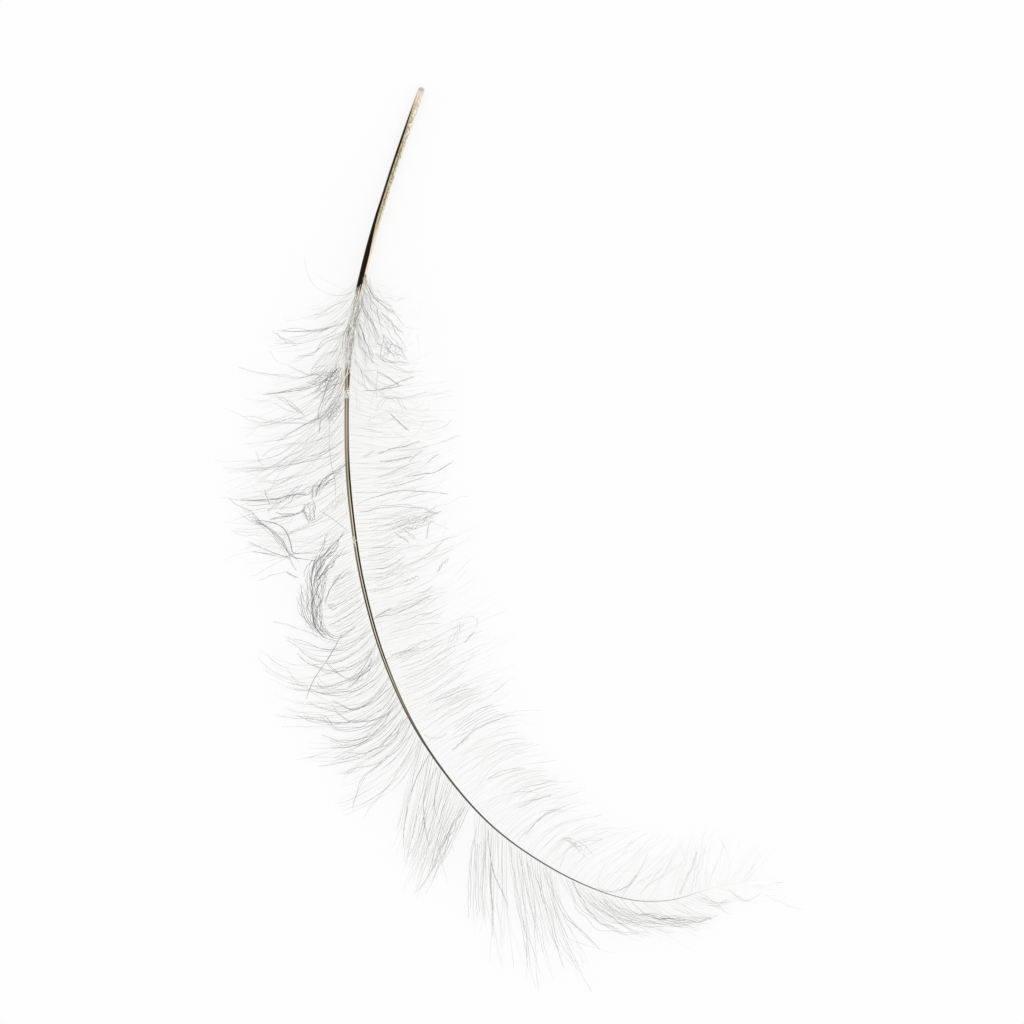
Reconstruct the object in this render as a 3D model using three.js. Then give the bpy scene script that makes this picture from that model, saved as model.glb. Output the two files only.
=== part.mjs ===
import * as THREE from 'three';

// A goose quill feather with loose, open vanes, lying on a flat surface.
//
// Millimetres. +Z is up from the surface, +Y runs towards the quill's open end, and the
// origin is on the surface at the middle of the feather's outline. Distances "along" the
// feather are measured on the shaft's centreline, from the quill's open end to the tip.

// The shaft's centreline. The feather curves like a C in plan, and it bows up off the
// surface between its two ends.
const SHAFT_LINE = [
  [-23.3, 124.5, 1.1],
  [-32.0, 99.1, 2.6],
  [-39.0, 74.7, 4.1],
  [-43.4, 51.9, 5.4],
  [-44.2, 26.9, 6.4],
  [-43.0, 6.5, 6.9],
  [-39.5, -15.9, 7.0],
  [-32.9, -38.3, 6.8],
  [-22.3, -59.9, 6.1],
  [-5.9, -80.6, 5.0],
  [12.5, -94.4, 3.7],
  [30.9, -102.7, 2.5],
  [45.1, -104.1, 1.7],
  [59.2, -100.4, 1.2],
  [71.0, -98.4, 0.8],
];

// The shaft's radius: [distance along, radius]. The quill is the bare, round stretch up to
// BARREL_END, and the rachis that carries the vanes tapers away from there.
const SHAFT_RADIUS = [
  [0, 0.9],
  [4, 0.95],
  [30, 0.96],
  [50, 1.0],
  [62, 0.96],
  [80, 0.78],
  [92, 0.67],
  [117, 0.68],
  [147, 0.61],
  [170, 0.52],
  [192, 0.32],
  [207, 0.26],
  [230, 0.2],
  [250, 0.16],
  [265, 0.12],
  [302, 0.08],
];
const SHAFT_SIDES = 12;
const SHAFT_STEP = 4;
const BARREL_END = 58;
const GROOVE_DEPTH = 0.3; // how far the top of the rachis is drawn in, as part of its radius
const GROOVE_RUN = 20; // the groove fades in over this distance past the barrel

// The quill is an open tube.
const BORE_RADIUS = 0.62;
const BORE_DEPTH = 48;
const BORE_STEP = 8;

// The vanes are soft sheets that slope from the shaft down to a margin lying on the surface.
const SHEET_THICKNESS = 1;
const SHAFT_GAP = 0.35;
const SHEET_STEP = 4;
const SHEET_ROWS = 6;
const MARGIN_START = 0.78; // the margin lies flat from here out, as part of the sheet's reach
const SAG = 1.4; // above 1, a sheet drops faster near the shaft than near its margin

// Where each sheet ends: [distance along, x, y], the points that the barbs leaving the shaft
// at that distance reach.
const OUTER_MARGIN = [
  [57, -47, 68.5],
  [62, -57, 61.5],
  [69, -68, 54],
  [77, -76, 44],
  [86, -80, 35],
  [105, -83.9, 15],
  [112, -83.5, 6],
  [120, -79, -4],
  [129, -68, -16],
  [137, -62, -24],
  [146, -65, -31],
  [154, -63, -40],
  [162, -62, -48],
  [171, -57, -57],
  [178, -51, -66],
  [183, -46, -74],
  [188, -40, -82],
  [193, -33, -90],
  [199, -29, -98.5],
  [205, -22, -101.5],
  [210.5, -17, -99],
  [215, -10.6, -83.2],
  [220, -11, -105],
  [224, -8.5, -119],
  [230, -1, -121],
  [235, 8.5, -123.9],
  [241, 16, -123.9],
  [247, 24, -121.5],
  [252, 30, -118],
  [259, 41, -115.5],
  [269, 55, -113.5],
  [280, 69, -111.5],
  [291, 81, -109.5],
  [300, 84, -106.5],
];
const INNER_MARGIN = [
  [69, -25.5, 51.5],
  [76, -19.5, 47.5],
  [84, -17, 40.5],
  [94, -15.5, 32],
  [104, -12, 22.5],
  [113, -10, 11],
  [123, -10.5, 0],
  [133, -7, -10],
  [143, -3, -19],
  [153, 0.5, -28],
  [162, 2, -38],
  [172, 5.5, -45],
  [182, 7.5, -54],
  [192, 9, -61],
  [200, 14, -67],
  [209, 21, -73.5],
  [217, 22, -79.5],
  [225, 25, -83],
  [234, 35.5, -83],
  [242, 41, -85],
  [252, 52, -86],
  [260, 59, -85],
  [269, 64.5, -89.5],
  [280, 72, -92],
  [291, 77, -93],
  [300, 80, -94.5],
];
const AFTERFEATHER_MARGIN = [
  [55.5, -33.5, 68.5],
  [57.5, -26, 65],
  [60.5, -23.5, 60],
  [63.5, -23, 56.5],
  [66.5, -26, 53.5],
];

const shaftCurve = new THREE.CatmullRomCurve3(
  SHAFT_LINE.map(([x, y, z]) => new THREE.Vector3(x, y, z)),
  false,
  'centripetal',
);
shaftCurve.arcLengthDivisions = 1200;
const SHAFT_LENGTH = shaftCurve.getLength();

// Reads a table of [distance, value, ...] rows, with straight lines between its rows.
function readTable(table, along) {
  const next = table.findIndex((row) => row[0] > along);
  if (next === 0) return table[0].slice(1);
  if (next < 0) return table[table.length - 1].slice(1);
  const [before, after] = [table[next - 1], table[next]];
  const part = (along - before[0]) / (after[0] - before[0]);
  return after.slice(1).map((value, i) => THREE.MathUtils.lerp(before[i + 1], value, part));
}

// Distances from one to another in equal steps of about the given size.
function distances(from, to, step) {
  const count = Math.max(2, Math.round(Math.abs(to - from) / step));
  return Array.from({ length: count + 1 }, (_, i) => from + ((to - from) * i) / count);
}

// The shaft's centre at a distance along it, with its forward direction, the level
// direction towards the outer vane, and the direction square to both.
function shaftFrame(along) {
  const part = THREE.MathUtils.clamp(along / SHAFT_LENGTH, 0, 1);
  const centre = shaftCurve.getPointAt(part);
  const forward = shaftCurve.getTangentAt(part);
  const outward = new THREE.Vector3(forward.y, -forward.x, 0).normalize();
  const up = new THREE.Vector3().crossVectors(outward, forward);
  return { centre, forward, outward, up };
}

// One ring of points round the shaft. The groove draws in the ring's topmost point.
function shaftRing(along, radius, groove) {
  const { centre, outward, up } = shaftFrame(along);
  return Array.from({ length: SHAFT_SIDES }, (_, i) => {
    const angle = (2 * Math.PI * i) / SHAFT_SIDES;
    const isTop = i === SHAFT_SIDES / 4;
    const reach = isTop ? radius * (1 - groove) : radius;
    return centre
      .clone()
      .addScaledVector(outward, reach * Math.cos(angle))
      .addScaledVector(up, reach * Math.sin(angle));
  });
}

// A geometry from points and triangles that already share their points.
function closedGeometry(points, triangles) {
  const geometry = new THREE.BufferGeometry();
  geometry.setAttribute(
    'position',
    new THREE.Float32BufferAttribute(points.flatMap((p) => p.toArray()), 3),
  );
  geometry.setIndex(triangles.flat());
  geometry.computeVertexNormals();
  return geometry;
}

// A closed body through a chain of rings, with a point at each end. The chain runs from
// the bottom of the bore out to the quill's mouth, then back over the outside to the tip.
function shaftGeometry() {
  const bore = distances(BORE_DEPTH, 0, BORE_STEP).map((along) =>
    shaftRing(along, BORE_RADIUS, 0),
  );
  const outside = distances(0, SHAFT_LENGTH, SHAFT_STEP).map((along) => {
    const [radius] = readTable(SHAFT_RADIUS, along);
    const fade = THREE.MathUtils.smoothstep(along, BARREL_END, BARREL_END + GROOVE_RUN);
    return shaftRing(along, radius, GROOVE_DEPTH * fade);
  });
  const rings = [...bore, ...outside];
  const points = [shaftFrame(BORE_DEPTH).centre, ...rings.flat(), shaftFrame(SHAFT_LENGTH).centre];
  const last = points.length - 1;
  const at = (ring, side) => 1 + ring * SHAFT_SIDES + (side % SHAFT_SIDES);

  const triangles = [];
  for (let side = 0; side < SHAFT_SIDES; side += 1) {
    triangles.push([0, at(0, side), at(0, side + 1)]);
    for (let ring = 0; ring < rings.length - 1; ring += 1) {
      const [a, b] = [at(ring, side), at(ring, side + 1)];
      const [c, d] = [at(ring + 1, side), at(ring + 1, side + 1)];
      triangles.push([a, c, d], [a, d, b]);
    }
    triangles.push([last, at(rings.length - 1, side + 1), at(rings.length - 1, side)]);
  }
  return closedGeometry(points, triangles);
}

// Height of a sheet's underside, from its edge at the shaft (part 0) to its margin (part 1).
function undersideHeight(shaftHeight, part) {
  const drop = THREE.MathUtils.clamp(part / MARGIN_START, 0, 1);
  const top = Math.max(0, shaftHeight - SHEET_THICKNESS / 2);
  return top * (1 - drop) ** SAG;
}

// A closed sheet beside the shaft: a grid of points on its underside, the same grid one
// thickness higher, and a wall round the rim. Side is 1 on the outer side, -1 on the inner.
function sheetGeometry(margin, side) {
  const stations = distances(margin[0][0], margin[margin.length - 1][0], SHEET_STEP);
  const underside = stations.map((along) => {
    const { centre, outward } = shaftFrame(along);
    const [radius] = readTable(SHAFT_RADIUS, along);
    const root = centre.clone().addScaledVector(outward, side * (radius + SHAFT_GAP));
    const [x, y] = readTable(margin, along);
    const tip = new THREE.Vector3(x, y, 0);
    return Array.from({ length: SHEET_ROWS + 1 }, (_, row) => {
      const part = row / SHEET_ROWS;
      return root.clone().lerp(tip, part).setZ(undersideHeight(centre.z, part));
    });
  });

  const width = SHEET_ROWS + 1;
  const low = underside.flat();
  const high = low.map((p) => p.clone().setZ(p.z + SHEET_THICKNESS));
  const points = [...low, ...high];
  const at = (station, row) => station * width + row;
  const over = low.length;

  const triangles = [];
  const quad = (a, b, c, d) => {
    const corners = side > 0 ? [a, b, c, d] : [d, c, b, a];
    triangles.push([corners[0], corners[1], corners[2]], [corners[0], corners[2], corners[3]]);
  };
  const wall = (from, to) => quad(from, to, to + over, from + over);
  const end = stations.length - 1;
  for (let station = 0; station < end; station += 1) {
    for (let row = 0; row < SHEET_ROWS; row += 1) {
      const [a, b] = [at(station, row), at(station + 1, row)];
      quad(a, b, b + 1, a + 1);
      quad(a + 1 + over, b + 1 + over, b + over, a + over);
    }
    wall(at(station + 1, 0), at(station, 0));
    wall(at(station, SHEET_ROWS), at(station + 1, SHEET_ROWS));
  }
  for (let row = 0; row < SHEET_ROWS; row += 1) {
    wall(at(0, row), at(0, row + 1));
    wall(at(end, row + 1), at(end, row));
  }
  return closedGeometry(points, triangles);
}

function piece(name, geometry, color, roughness) {
  const material = new THREE.MeshStandardMaterial({ color, roughness, metalness: 0 });
  const mesh = new THREE.Mesh(geometry, material);
  mesh.name = name;
  return mesh;
}

const HORN = 0x6e5a3c;
const BARBS = 0xe6e4dd;
const DOWN = 0xf0eee8;

const feather = new THREE.Group();
feather.add(
  piece('shaft', shaftGeometry(), HORN, 0.35),
  piece('outer_vane', sheetGeometry(OUTER_MARGIN, 1), BARBS, 0.8),
  piece('inner_vane', sheetGeometry(INNER_MARGIN, -1), BARBS, 0.8),
  piece('afterfeather', sheetGeometry(AFTERFEATHER_MARGIN, -1), DOWN, 0.9),
);

export default feather;
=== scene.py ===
"""A goose quill feather with loose, open vanes, lying on a pale floor and seen from above.

Lengths in the tables are millimetres. "Along" is the distance on the shaft's centreline from
the quill's open end. The outer side of the feather is the outside of its curve.
"""

import math
from typing import NamedTuple

import bpy
import numpy as np
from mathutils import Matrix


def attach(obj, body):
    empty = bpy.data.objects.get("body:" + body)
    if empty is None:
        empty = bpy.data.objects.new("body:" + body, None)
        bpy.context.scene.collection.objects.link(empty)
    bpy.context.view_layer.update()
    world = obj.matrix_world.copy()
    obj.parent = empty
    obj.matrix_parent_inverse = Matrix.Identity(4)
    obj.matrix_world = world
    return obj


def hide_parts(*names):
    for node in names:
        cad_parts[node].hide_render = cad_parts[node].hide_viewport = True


bl_info = {
    "name": "Goose Quill Feather",
    "version": (1, 0, 0),
    "blender": (4, 5, 0),
    "location": "3D View > Sidebar > Feather",
    "description": "Builds a quill feather with its horn shaft, loose barbs and basal down",
    "category": "Add Mesh",
}

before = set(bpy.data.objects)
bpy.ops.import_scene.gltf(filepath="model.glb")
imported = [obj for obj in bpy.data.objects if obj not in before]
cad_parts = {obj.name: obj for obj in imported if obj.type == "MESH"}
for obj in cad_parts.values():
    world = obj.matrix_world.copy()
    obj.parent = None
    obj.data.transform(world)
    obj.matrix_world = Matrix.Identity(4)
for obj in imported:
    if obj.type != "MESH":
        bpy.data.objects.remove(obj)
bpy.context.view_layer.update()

MM = 0.001
OUTER, INNER = 1, -1

# The plan grid that the wisps' and the sheaves' paths run over: (column, row) pairs, which count
# towards +X and -Y. The camera sees the whole grid.
GRID_SQUARE = 0.28
GRID_SIDE = 1024
GRID_ORIGIN = (505, 530)

# The shaft's centreline, which the CAD shaft follows too.
SHAFT_LINE = (
    (-23.3, 124.5, 1.1), (-32.0, 99.1, 2.6), (-39.0, 74.7, 4.1), (-43.4, 51.9, 5.4),
    (-44.2, 26.9, 6.4), (-43.0, 6.5, 6.9), (-39.5, -15.9, 7.0), (-32.9, -38.3, 6.8),
    (-22.3, -59.9, 6.1), (-5.9, -80.6, 5.0), (12.5, -94.4, 3.7), (30.9, -102.7, 2.5),
    (45.1, -104.1, 1.7), (59.2, -100.4, 1.2), (71.0, -98.4, 0.8),
)
# (along, radius)
SHAFT_RADIUS = (
    (0, 0.9), (4, 0.95), (30, 0.96), (42, 1.04), (52, 1.05), (62, 0.97), (80, 0.78), (92, 0.67),
    (117, 0.68), (147, 0.61), (170, 0.52), (192, 0.32), (207, 0.26), (230, 0.2), (250, 0.16),
    (265, 0.12), (285, 0.06), (302, 0.02),
)
BORE_RADIUS = 0.62
BORE_DEPTH = 46.0
MOUTH_CUT = 1.3  # how far the slanted mouth sets the quill's upper side back
# Stretches of the shaft over which a feature comes in or goes out.
MOUTH_END = (0, 6)
FLAKES_IN = (4, 8)
FLAKES_OUT = (20, 34)
GROOVE_IN = (56, 72)
# Across the rachis, in radians from its top, and as parts of the shaft's radius.
GROOVE_WIDTH, SHOULDER_AT, SHOULDER_WIDTH = 0.42, 0.85, 0.35
SHOULDER_RISE, FLAKE_RISE, LIP_SIZE = 0.10, 0.07, 0.97

VANE_WIDTH = 28.0  # how far from the shaft a vane comes down to its margin
VANE_MARGIN = 0.6  # height of that margin
ROOT_SEAT = 0.9  # how far out on the shaft's radius the barbs are rooted
LEAST_HEIGHT = 0.2  # of any barb above the floor

# How far the locks and barbs of a swathe whose stray is 1 differ, in degrees.
LEAVE_SPREAD = 1.2
LOCK_TURN, LOCK_SWING = 5.0, 5.0
BARB_TURN, BARB_SWING = 7.0, 7.0
KINK_SHARE, KINK_BEND = 0.16, 28.0  # the share of barbs with a sharp bend, and its size
LOOSE_SHARE, LOOSE_SPREAD = 0.08, 3.0  # barbs apart from their lock, and how much wider they lie
DASH_TONE, DASH_SWELL = 0.12, 0.25  # a barb's tone between its dashes of painted shade, and their width
BARBULE_ANGLE = 42.0  # degrees between a barbule and its barb


class Lay(NamedTuple):
    """How the barbs that leave the shaft at one place lie."""

    at: float  # distance along the shaft
    length: float
    leave: float  # degrees between the barb at its root and the shaft's forward direction
    turn: float  # degrees more by its tip
    late: float = 1.0  # below 1 the barb turns near its root, above 1 near its tip
    crown: float = 1.0  # how far it arches up between its two ends
    lock: float = 6.0  # how much of the shaft one lock takes up
    draw: float = 0.5  # how far a lock's barbs draw together, from 0 to 1
    tip: float = 0.6  # height of its tip


def lays(*rows, **shared):
    """Lays from rows of their own values and the values that they share."""
    return tuple(Lay(*row, **shared) for row in rows)


class Swathe(NamedTuple):
    """A stretch of barbs whose lay changes evenly along the shaft."""

    side: int
    spacing: float
    lays: tuple
    stray: float = 1.0  # how untidy the barbs are
    thickness: float = 1.0
    fringe: float = 0.6  # length of the barbules
    tone: float = 0.52  # 0 takes the most painted shade and 1 is the whitest
    rise: float = 0.0  # degrees up from the shaft's side to the roots


class Wisp(NamedTuple):
    """A few strands that lie together along a path of their own over the plan grid."""

    path: tuple
    count: int = 2
    spread: float = 0.5  # how far apart the strands lie
    tone: float = 0.25
    thickness: float = 1.1
    lift: float = 0.6  # height above the vane
    fringe: float = 0.5  # length of the barbules


class Sheaf(NamedTuple):
    """Strands spread evenly between two edges, whose paths run over the plan grid."""

    left: tuple
    right: tuple
    count: int
    stray: float = 0.3  # how far the strands wander sideways
    tone: float = 0.25
    thickness: float = 1.0
    lift: float = 0.8  # height above the vane
    fringe: float = 0.4


OUTER_DOWN = (
    Swathe(OUTER, 0.5, lays(
        (57, 14, 26, 34, 0.9, 1.5, 6, 0.5),
        (62, 25, 20, 46, 0.9, 1.5, 6, 0.5),
        (70, 33, 14, 68, 0.9, 1.5, 6, 0.5),
        (76, 37, 10, 78, 0.9, 1.5, 6, 0.6),
        (86, 38, 14, 76, 0.9, 1.5, 6, 0.6),
    ), stray=2.0, thickness=0.88, fringe=0.8, tone=0.54),
    Swathe(OUTER, 0.8, lays(
        (58.5, 13, 4, 8, 1.0, 0.4, 6, 0.5, 6.2),
        (66, 17, 5, 8, 1.0, 0.5, 6, 0.5, 7.0),
        (76, 11, 0, 18, 1.0, 0.5, 6, 0.5, 7.2),
    ), stray=2.0, thickness=1.4, fringe=0.15, tone=1.0, rise=60),
    # the bundle and the white mat of down on the shaft
    Sheaf(((359, 286), (352, 310), (344, 340), (336, 370)),
          ((366, 284), (361, 307), (354, 338), (350, 372)), 9, 0.7, 0.05, 1.1, 1.9, 0.15),
    Sheaf(((359, 288), (354, 314), (347, 344), (343, 380)),
          ((365, 288), (360, 312), (353, 342), (351, 381)), 18, 0.9, 1.0, 2.2, 1.8, 0.1),
    Sheaf(((350, 386), (347, 392), (344, 399)),
          ((354, 388), (350, 394), (347, 401)), 7, 0.5, 1.0, 1.8, 1.5, 0.3),
    # single strands and the dark clump beside the mat
    Wisp(((346, 322), (325, 328), (300, 331), (275, 329)), 3, 1.2),
    Wisp(((348, 330), (330, 340), (312, 352), (290, 359)), 3, 1.2),
    Sheaf(((351, 338), (350, 352), (348, 368)),
          ((353, 338), (352, 352), (351, 370)), 4, 0.3, 0.7, 1.6, 1.9, 0.1),
    Wisp(((340, 350), (326, 356), (314, 366), (311, 374)), 2, 0.4, 0.0, 1.3),
    Wisp(((329, 366), (319, 367), (311, 369)), 1, 0.3, 0.1, 1.2),
    Wisp(((329, 376), (319, 376), (311, 374)), 1, 0.3, 0.1, 1.2),
    Wisp(((340, 366), (326, 380), (314, 386), (294, 390), (262, 394)), 2, 0.6, 0.0, 1.4),
    Sheaf(((342, 363), (333, 371), (322, 377), (306, 382)),
          ((345, 370), (337, 384), (327, 394), (310, 402)), 14, 0.6, 0.0, 1.15, 0.8, 0.3),
    Wisp(((276, 396), (289, 402), (304, 414)), 2, 0.5, 0.0, 1.1),
    Wisp(((284, 402), (294, 407), (306, 416)), 2, 0.4, 0.1),
    Wisp(((342, 366), (334, 373), (328, 383), (323, 399), (319, 409), (318, 421)), 2, 0.3, 0.0,
          1.2),
    Wisp(((322, 416), (320, 424), (319, 433)), 2, 0.4, 0.0, 1.2),
    Sheaf(((343, 372), (334, 384), (327, 395), (321, 410)),
          ((346, 390), (340, 402), (334, 416), (328, 432)), 8, 0.4, 0.5, 0.9, 0.8, 0.3),
    Sheaf(((334, 400), (330, 410), (325, 422)),
          ((341, 402), (337, 412), (332, 424)), 7, 0.6, 0.25, 1.1, 0.8, 0.7),
    Wisp(((235, 366), (260, 371), (285, 375), (302, 376), (322, 369)), 2, 1.0, 0.35, 0.9),
    Wisp(((287, 366), (300, 372), (312, 375), (330, 369)), 2, 0.5, 0.1),
    Wisp(((272, 330), (285, 339), (299, 346)), 2, 0.6, 0.2),
    Wisp(((350, 300), (330, 309), (312, 320)), 2, 0.8, 0.4),
    Wisp(((350, 292), (330, 283), (318, 276)), 1, 0.5, 0.5, 0.8),
)
OUTER_BARBS = (
    Swathe(OUTER, 0.62, lays(
        (86, 38, 16, 74, 0.8, 1.5, 7),
        (96, 38, 34, 55, 0.7, 1.5, 7),
        (106, 38, 44, 46, 0.7, 1.2, 8),
        (116, 36, 48, 44, 0.7, 1.2, 7),
        (122, 31, 50, 58, 0.7, 1.2, 5),
        (127, 26, 50, 64, 0.7, 1.2, 5),
    ), stray=1.5, thickness=0.9, fringe=0.5, tone=0.49),
    Swathe(OUTER, 0.85, lays(
        (127, 13, 72, 20, 1.0),
        (139, 14, 74, 22, 1.0),
        (158, 17, 62, 38, 0.9),
        crown=0.6,
    ), stray=1.2, thickness=0.9),
    Wisp(((345, 395), (332, 405), (322, 418), (316, 430)), 3, 1.6, 0.4),
    Wisp(((328, 415), (314, 421), (298, 429), (276, 440)), 2, 0.5, 0.1, 1.1),
    Wisp(((344, 400), (318, 417), (285, 419), (240, 416)), 2, 1.2, 0.35, 1.0),
    Wisp(((344, 425), (320, 441), (277, 447), (254, 464)), 2, 0.8, 0.3),
    Wisp(((345, 440), (325, 452), (298, 461), (272, 472)), 3, 0.8, 0.15),
    Wisp(((345, 452), (310, 462), (262, 467), (231, 468)), 2, 0.5, 0.3),
    Wisp(((330, 420), (330, 440), (332, 462), (336, 482), (336, 496)), 1, 0.2, 0.0, 1.3),
    Wisp(((347, 464), (337, 472), (326, 478), (318, 488), (315, 500)), 4, 0.7, 0.1, 1.3),
    Wisp(((345, 474), (330, 483), (322, 489), (318, 497)), 3, 0.7, 0.1, 1.2),
    Wisp(((306, 494), (292, 496), (276, 499), (252, 501), (232, 500)), 3, 0.5, 0.0, 1.15),
    Wisp(((282, 500), (264, 502), (244, 504)), 2, 0.6, 0.05, 1.1),
    Sheaf(((330, 478), (314, 486), (300, 494), (280, 498)),
          ((342, 482), (322, 488), (304, 497), (286, 500)), 5, 0.4, 0.2, 1.0, 0.8, 0.3),
    Sheaf(((302, 484), (286, 494), (272, 506), (262, 515)),
          ((312, 484), (296, 495), (284, 505), (275, 514)), 4, 0.4, 0.1, 1.1, 0.8, 0.3),
    Wisp(((264, 489), (266, 497), (270, 506)), 2, 0.3, 0.05, lift=1.2),
    Wisp(((305, 510), (296, 514), (284, 517), (268, 520)), 3, 0.3, 0.0, 1.3),
    Wisp(((294, 514), (284, 514), (274, 513)), 2, 0.3, 0.0, 1.2),
    # the knot
    Sheaf(((309, 502), (304, 507), (304, 513), (307, 518), (311, 523)),
          ((315, 503), (316, 508), (316, 513), (315, 518), (311, 523)),
          7, 0.4, 0.0, 1.2, 1.5, 0.2),
    Wisp(((312, 502), (305, 506), (303, 512), (306, 518), (311, 523)), 2, 0.3, 0.0, 1.2, 1.6),
    Wisp(((314, 490), (312, 498), (314, 504), (316, 510)), 2, 0.3, 0.0, 1.1, 1.8),
    Wisp(((312, 522), (318, 518), (324, 513), (330, 506)), 2, 0.6, 0.2, 1.0, 1.2),
    Wisp(((321, 478), (314, 488), (312, 500)), 2, 0.6, 0.2, 1.0, 1.5),
    Sheaf(((324, 510), (331, 505), (338, 497), (346, 486)),
          ((330, 515), (338, 508), (344, 500), (349, 492)), 5, 0.4, 0.35, 0.9, 0.8, 0.4),
    # strands that cross the barbs
    Wisp(((319, 509), (334, 519), (350, 532)), 1, 0.1, 0.0, 1.5, 2.5),
    Wisp(((320, 553), (304, 553), (293, 553), (290, 542), (286, 532), (278, 525), (263, 521),
          (246, 519)), 2, 0.5, 0.0, 1.4),
    Wisp(((316, 560), (302, 559), (293, 557), (285, 549), (281, 540), (271, 531), (262, 524),
          (246, 517)), 2, 0.4, 0.0, 1.4),
    Wisp(((298, 573), (289, 561), (281, 547), (266, 532), (252, 517), (242, 510), (228, 500)), 1,
          0.9, 0.0, 1.2),
    Wisp(((293, 566), (286, 552), (276, 540), (262, 528), (250, 514), (240, 507)), 1, 0.9, 0.1,
          1.1),
    Wisp(((300, 566), (288, 552), (278, 538), (264, 526), (250, 521), (238, 512)), 1, 0.6, 0.1,
          1.1),
    Sheaf(((262, 531), (254, 523), (246, 514)),
          ((266, 526), (257, 519), (249, 512)), 4, 0.4, 0.3, 0.9, 0.8, 0.3),
    Wisp(((292, 559), (278, 555), (262, 548), (244, 541)), 2, 0.4, 0.0, 1.3),
    Wisp(((288, 557), (266, 553), (248, 552)), 2, 0.3, 0.2),
    Wisp(((298, 578), (291, 575), (285, 571)), 2, 0.4, 0.0, 1.2),
    Wisp(((287, 572), (272, 575), (258, 581)), 1, 0.2, 0.3),
    # pale strands caught over the shaft
    Wisp(((354, 536), (355, 541), (357, 547)), 3, 0.3, 1.0, 1.3, 1.5),
    Wisp(((351, 543), (355, 542), (359, 539)), 2, 0.3, 1.0, 1.2, 1.5),
)
CURLED_LOCK = (
    # the curl, from its top round to its hooked lower end
    Sheaf(((328, 533), (321, 548), (312, 561), (306, 574), (305, 584)),
          ((352, 546), (339, 558), (330, 568), (322, 580), (318, 590)),
          13, 0.3, 0.0, 1.25, 0.8, 0.2),
    Wisp(((301, 584), (304, 597), (304, 608), (307, 620), (315, 630), (324, 637)), 2, 0.6, 0.0,
          1.3, 0.8, 0.3),
    Wisp(((308, 586), (309, 598), (310, 608)), 2, 0.5, 0.0, 1.3, 0.8, 0.3),
    Wisp(((315, 559), (307, 567), (304, 577)), 1, 0.3, 0.0, 1.3, 0.8, 0.3),
    Wisp(((327, 572), (326, 582), (325, 594)), 2, 0.5, 0.0, 1.2, 0.8, 0.3),
    Sheaf(((302, 580), (304, 596), (306, 610), (310, 622), (317, 631), (328, 638), (338, 640)),
          ((325, 566), (325, 582), (322, 597), (320, 611), (322, 624), (328, 633), (338, 636)),
          9, 0.5, 0.05, 1.25, 0.7, 0.2),
    Sheaf(((316, 556), (311, 570), (311, 585), (312, 597), (310, 609), (313, 623), (321, 634)),
          ((326, 554), (321, 567), (319, 582), (320, 595), (319, 607), (319, 620), (325, 632)),
          5, 0.7, 0.0, 1.9, 1.4, 0.1),
    Wisp(((346, 530), (334, 544), (321, 556), (314, 565), (311, 575), (312, 588)), 2, 0.5, 0.0,
          1.4),
    Wisp(((340, 538), (334, 549), (326, 558), (318, 567), (315, 578)), 2, 0.5, 0.0, 1.4),
    Wisp(((329, 532), (325, 541), (320, 551)), 2, 0.5, 0.1, 1.2),
    Wisp(((337, 559), (326, 570), (320, 577), (314, 584)), 2, 0.4, 0.0, 1.7, 1.6),
    Wisp(((343, 574), (337, 580), (331, 589), (327, 598), (325, 606)), 2, 0.3, 0.0, 1.4, 1.4),
    Wisp(((313, 588), (313, 598), (311, 608), (312, 618), (315, 627), (321, 634), (327, 638)), 2,
          0.6, 0.0, 1.6, 1.4),
    Wisp(((321, 583), (322, 593), (320, 603), (320, 615), (322, 626), (328, 634), (336, 638),
          (346, 634), (361, 622)), 3, 0.6, 0.1, 1.3, 1.2),
    # the comb of barbs between the curl and the shaft
    Sheaf(((358, 562), (350, 567), (342, 572), (335, 578), (331, 586)),
          ((370, 612), (360, 621), (349, 629), (338, 634), (328, 633)),
          20, 0.12, 0.2, 1.0, 0.8, 0.15),
    Sheaf(((325, 603), (331, 605), (338, 604)),
          ((327, 608), (332, 609), (338, 608)), 4, 0.3, 0.2, 0.9, 0.8, 0.3),
    Sheaf(((299, 582), (299, 596), (302, 612), (308, 626), (318, 637)),
          ((304, 580), (304, 594), (307, 609), (313, 624), (322, 636)),
          3, 0.4, 0.1, 1.0, 1.2, 0.4),
    Wisp(((296, 596), (300, 612), (308, 624), (314, 632)), 2, 0.6, 0.3, 1.0),
    # three strands that stand away below the curl
    Wisp(((342, 634), (332, 652), (326, 662)), 2, 0.2, 0.0, 1.6, 2.0),
    Wisp(((326, 662), (316, 676), (310, 688), (306, 699)), 1, 0.2, 0.0, 1.8, 2.0),
    Wisp(((326, 662), (333, 669), (342, 676), (350, 679)), 2, 0.3, 0.0, 1.4, 1.6),
)
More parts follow.
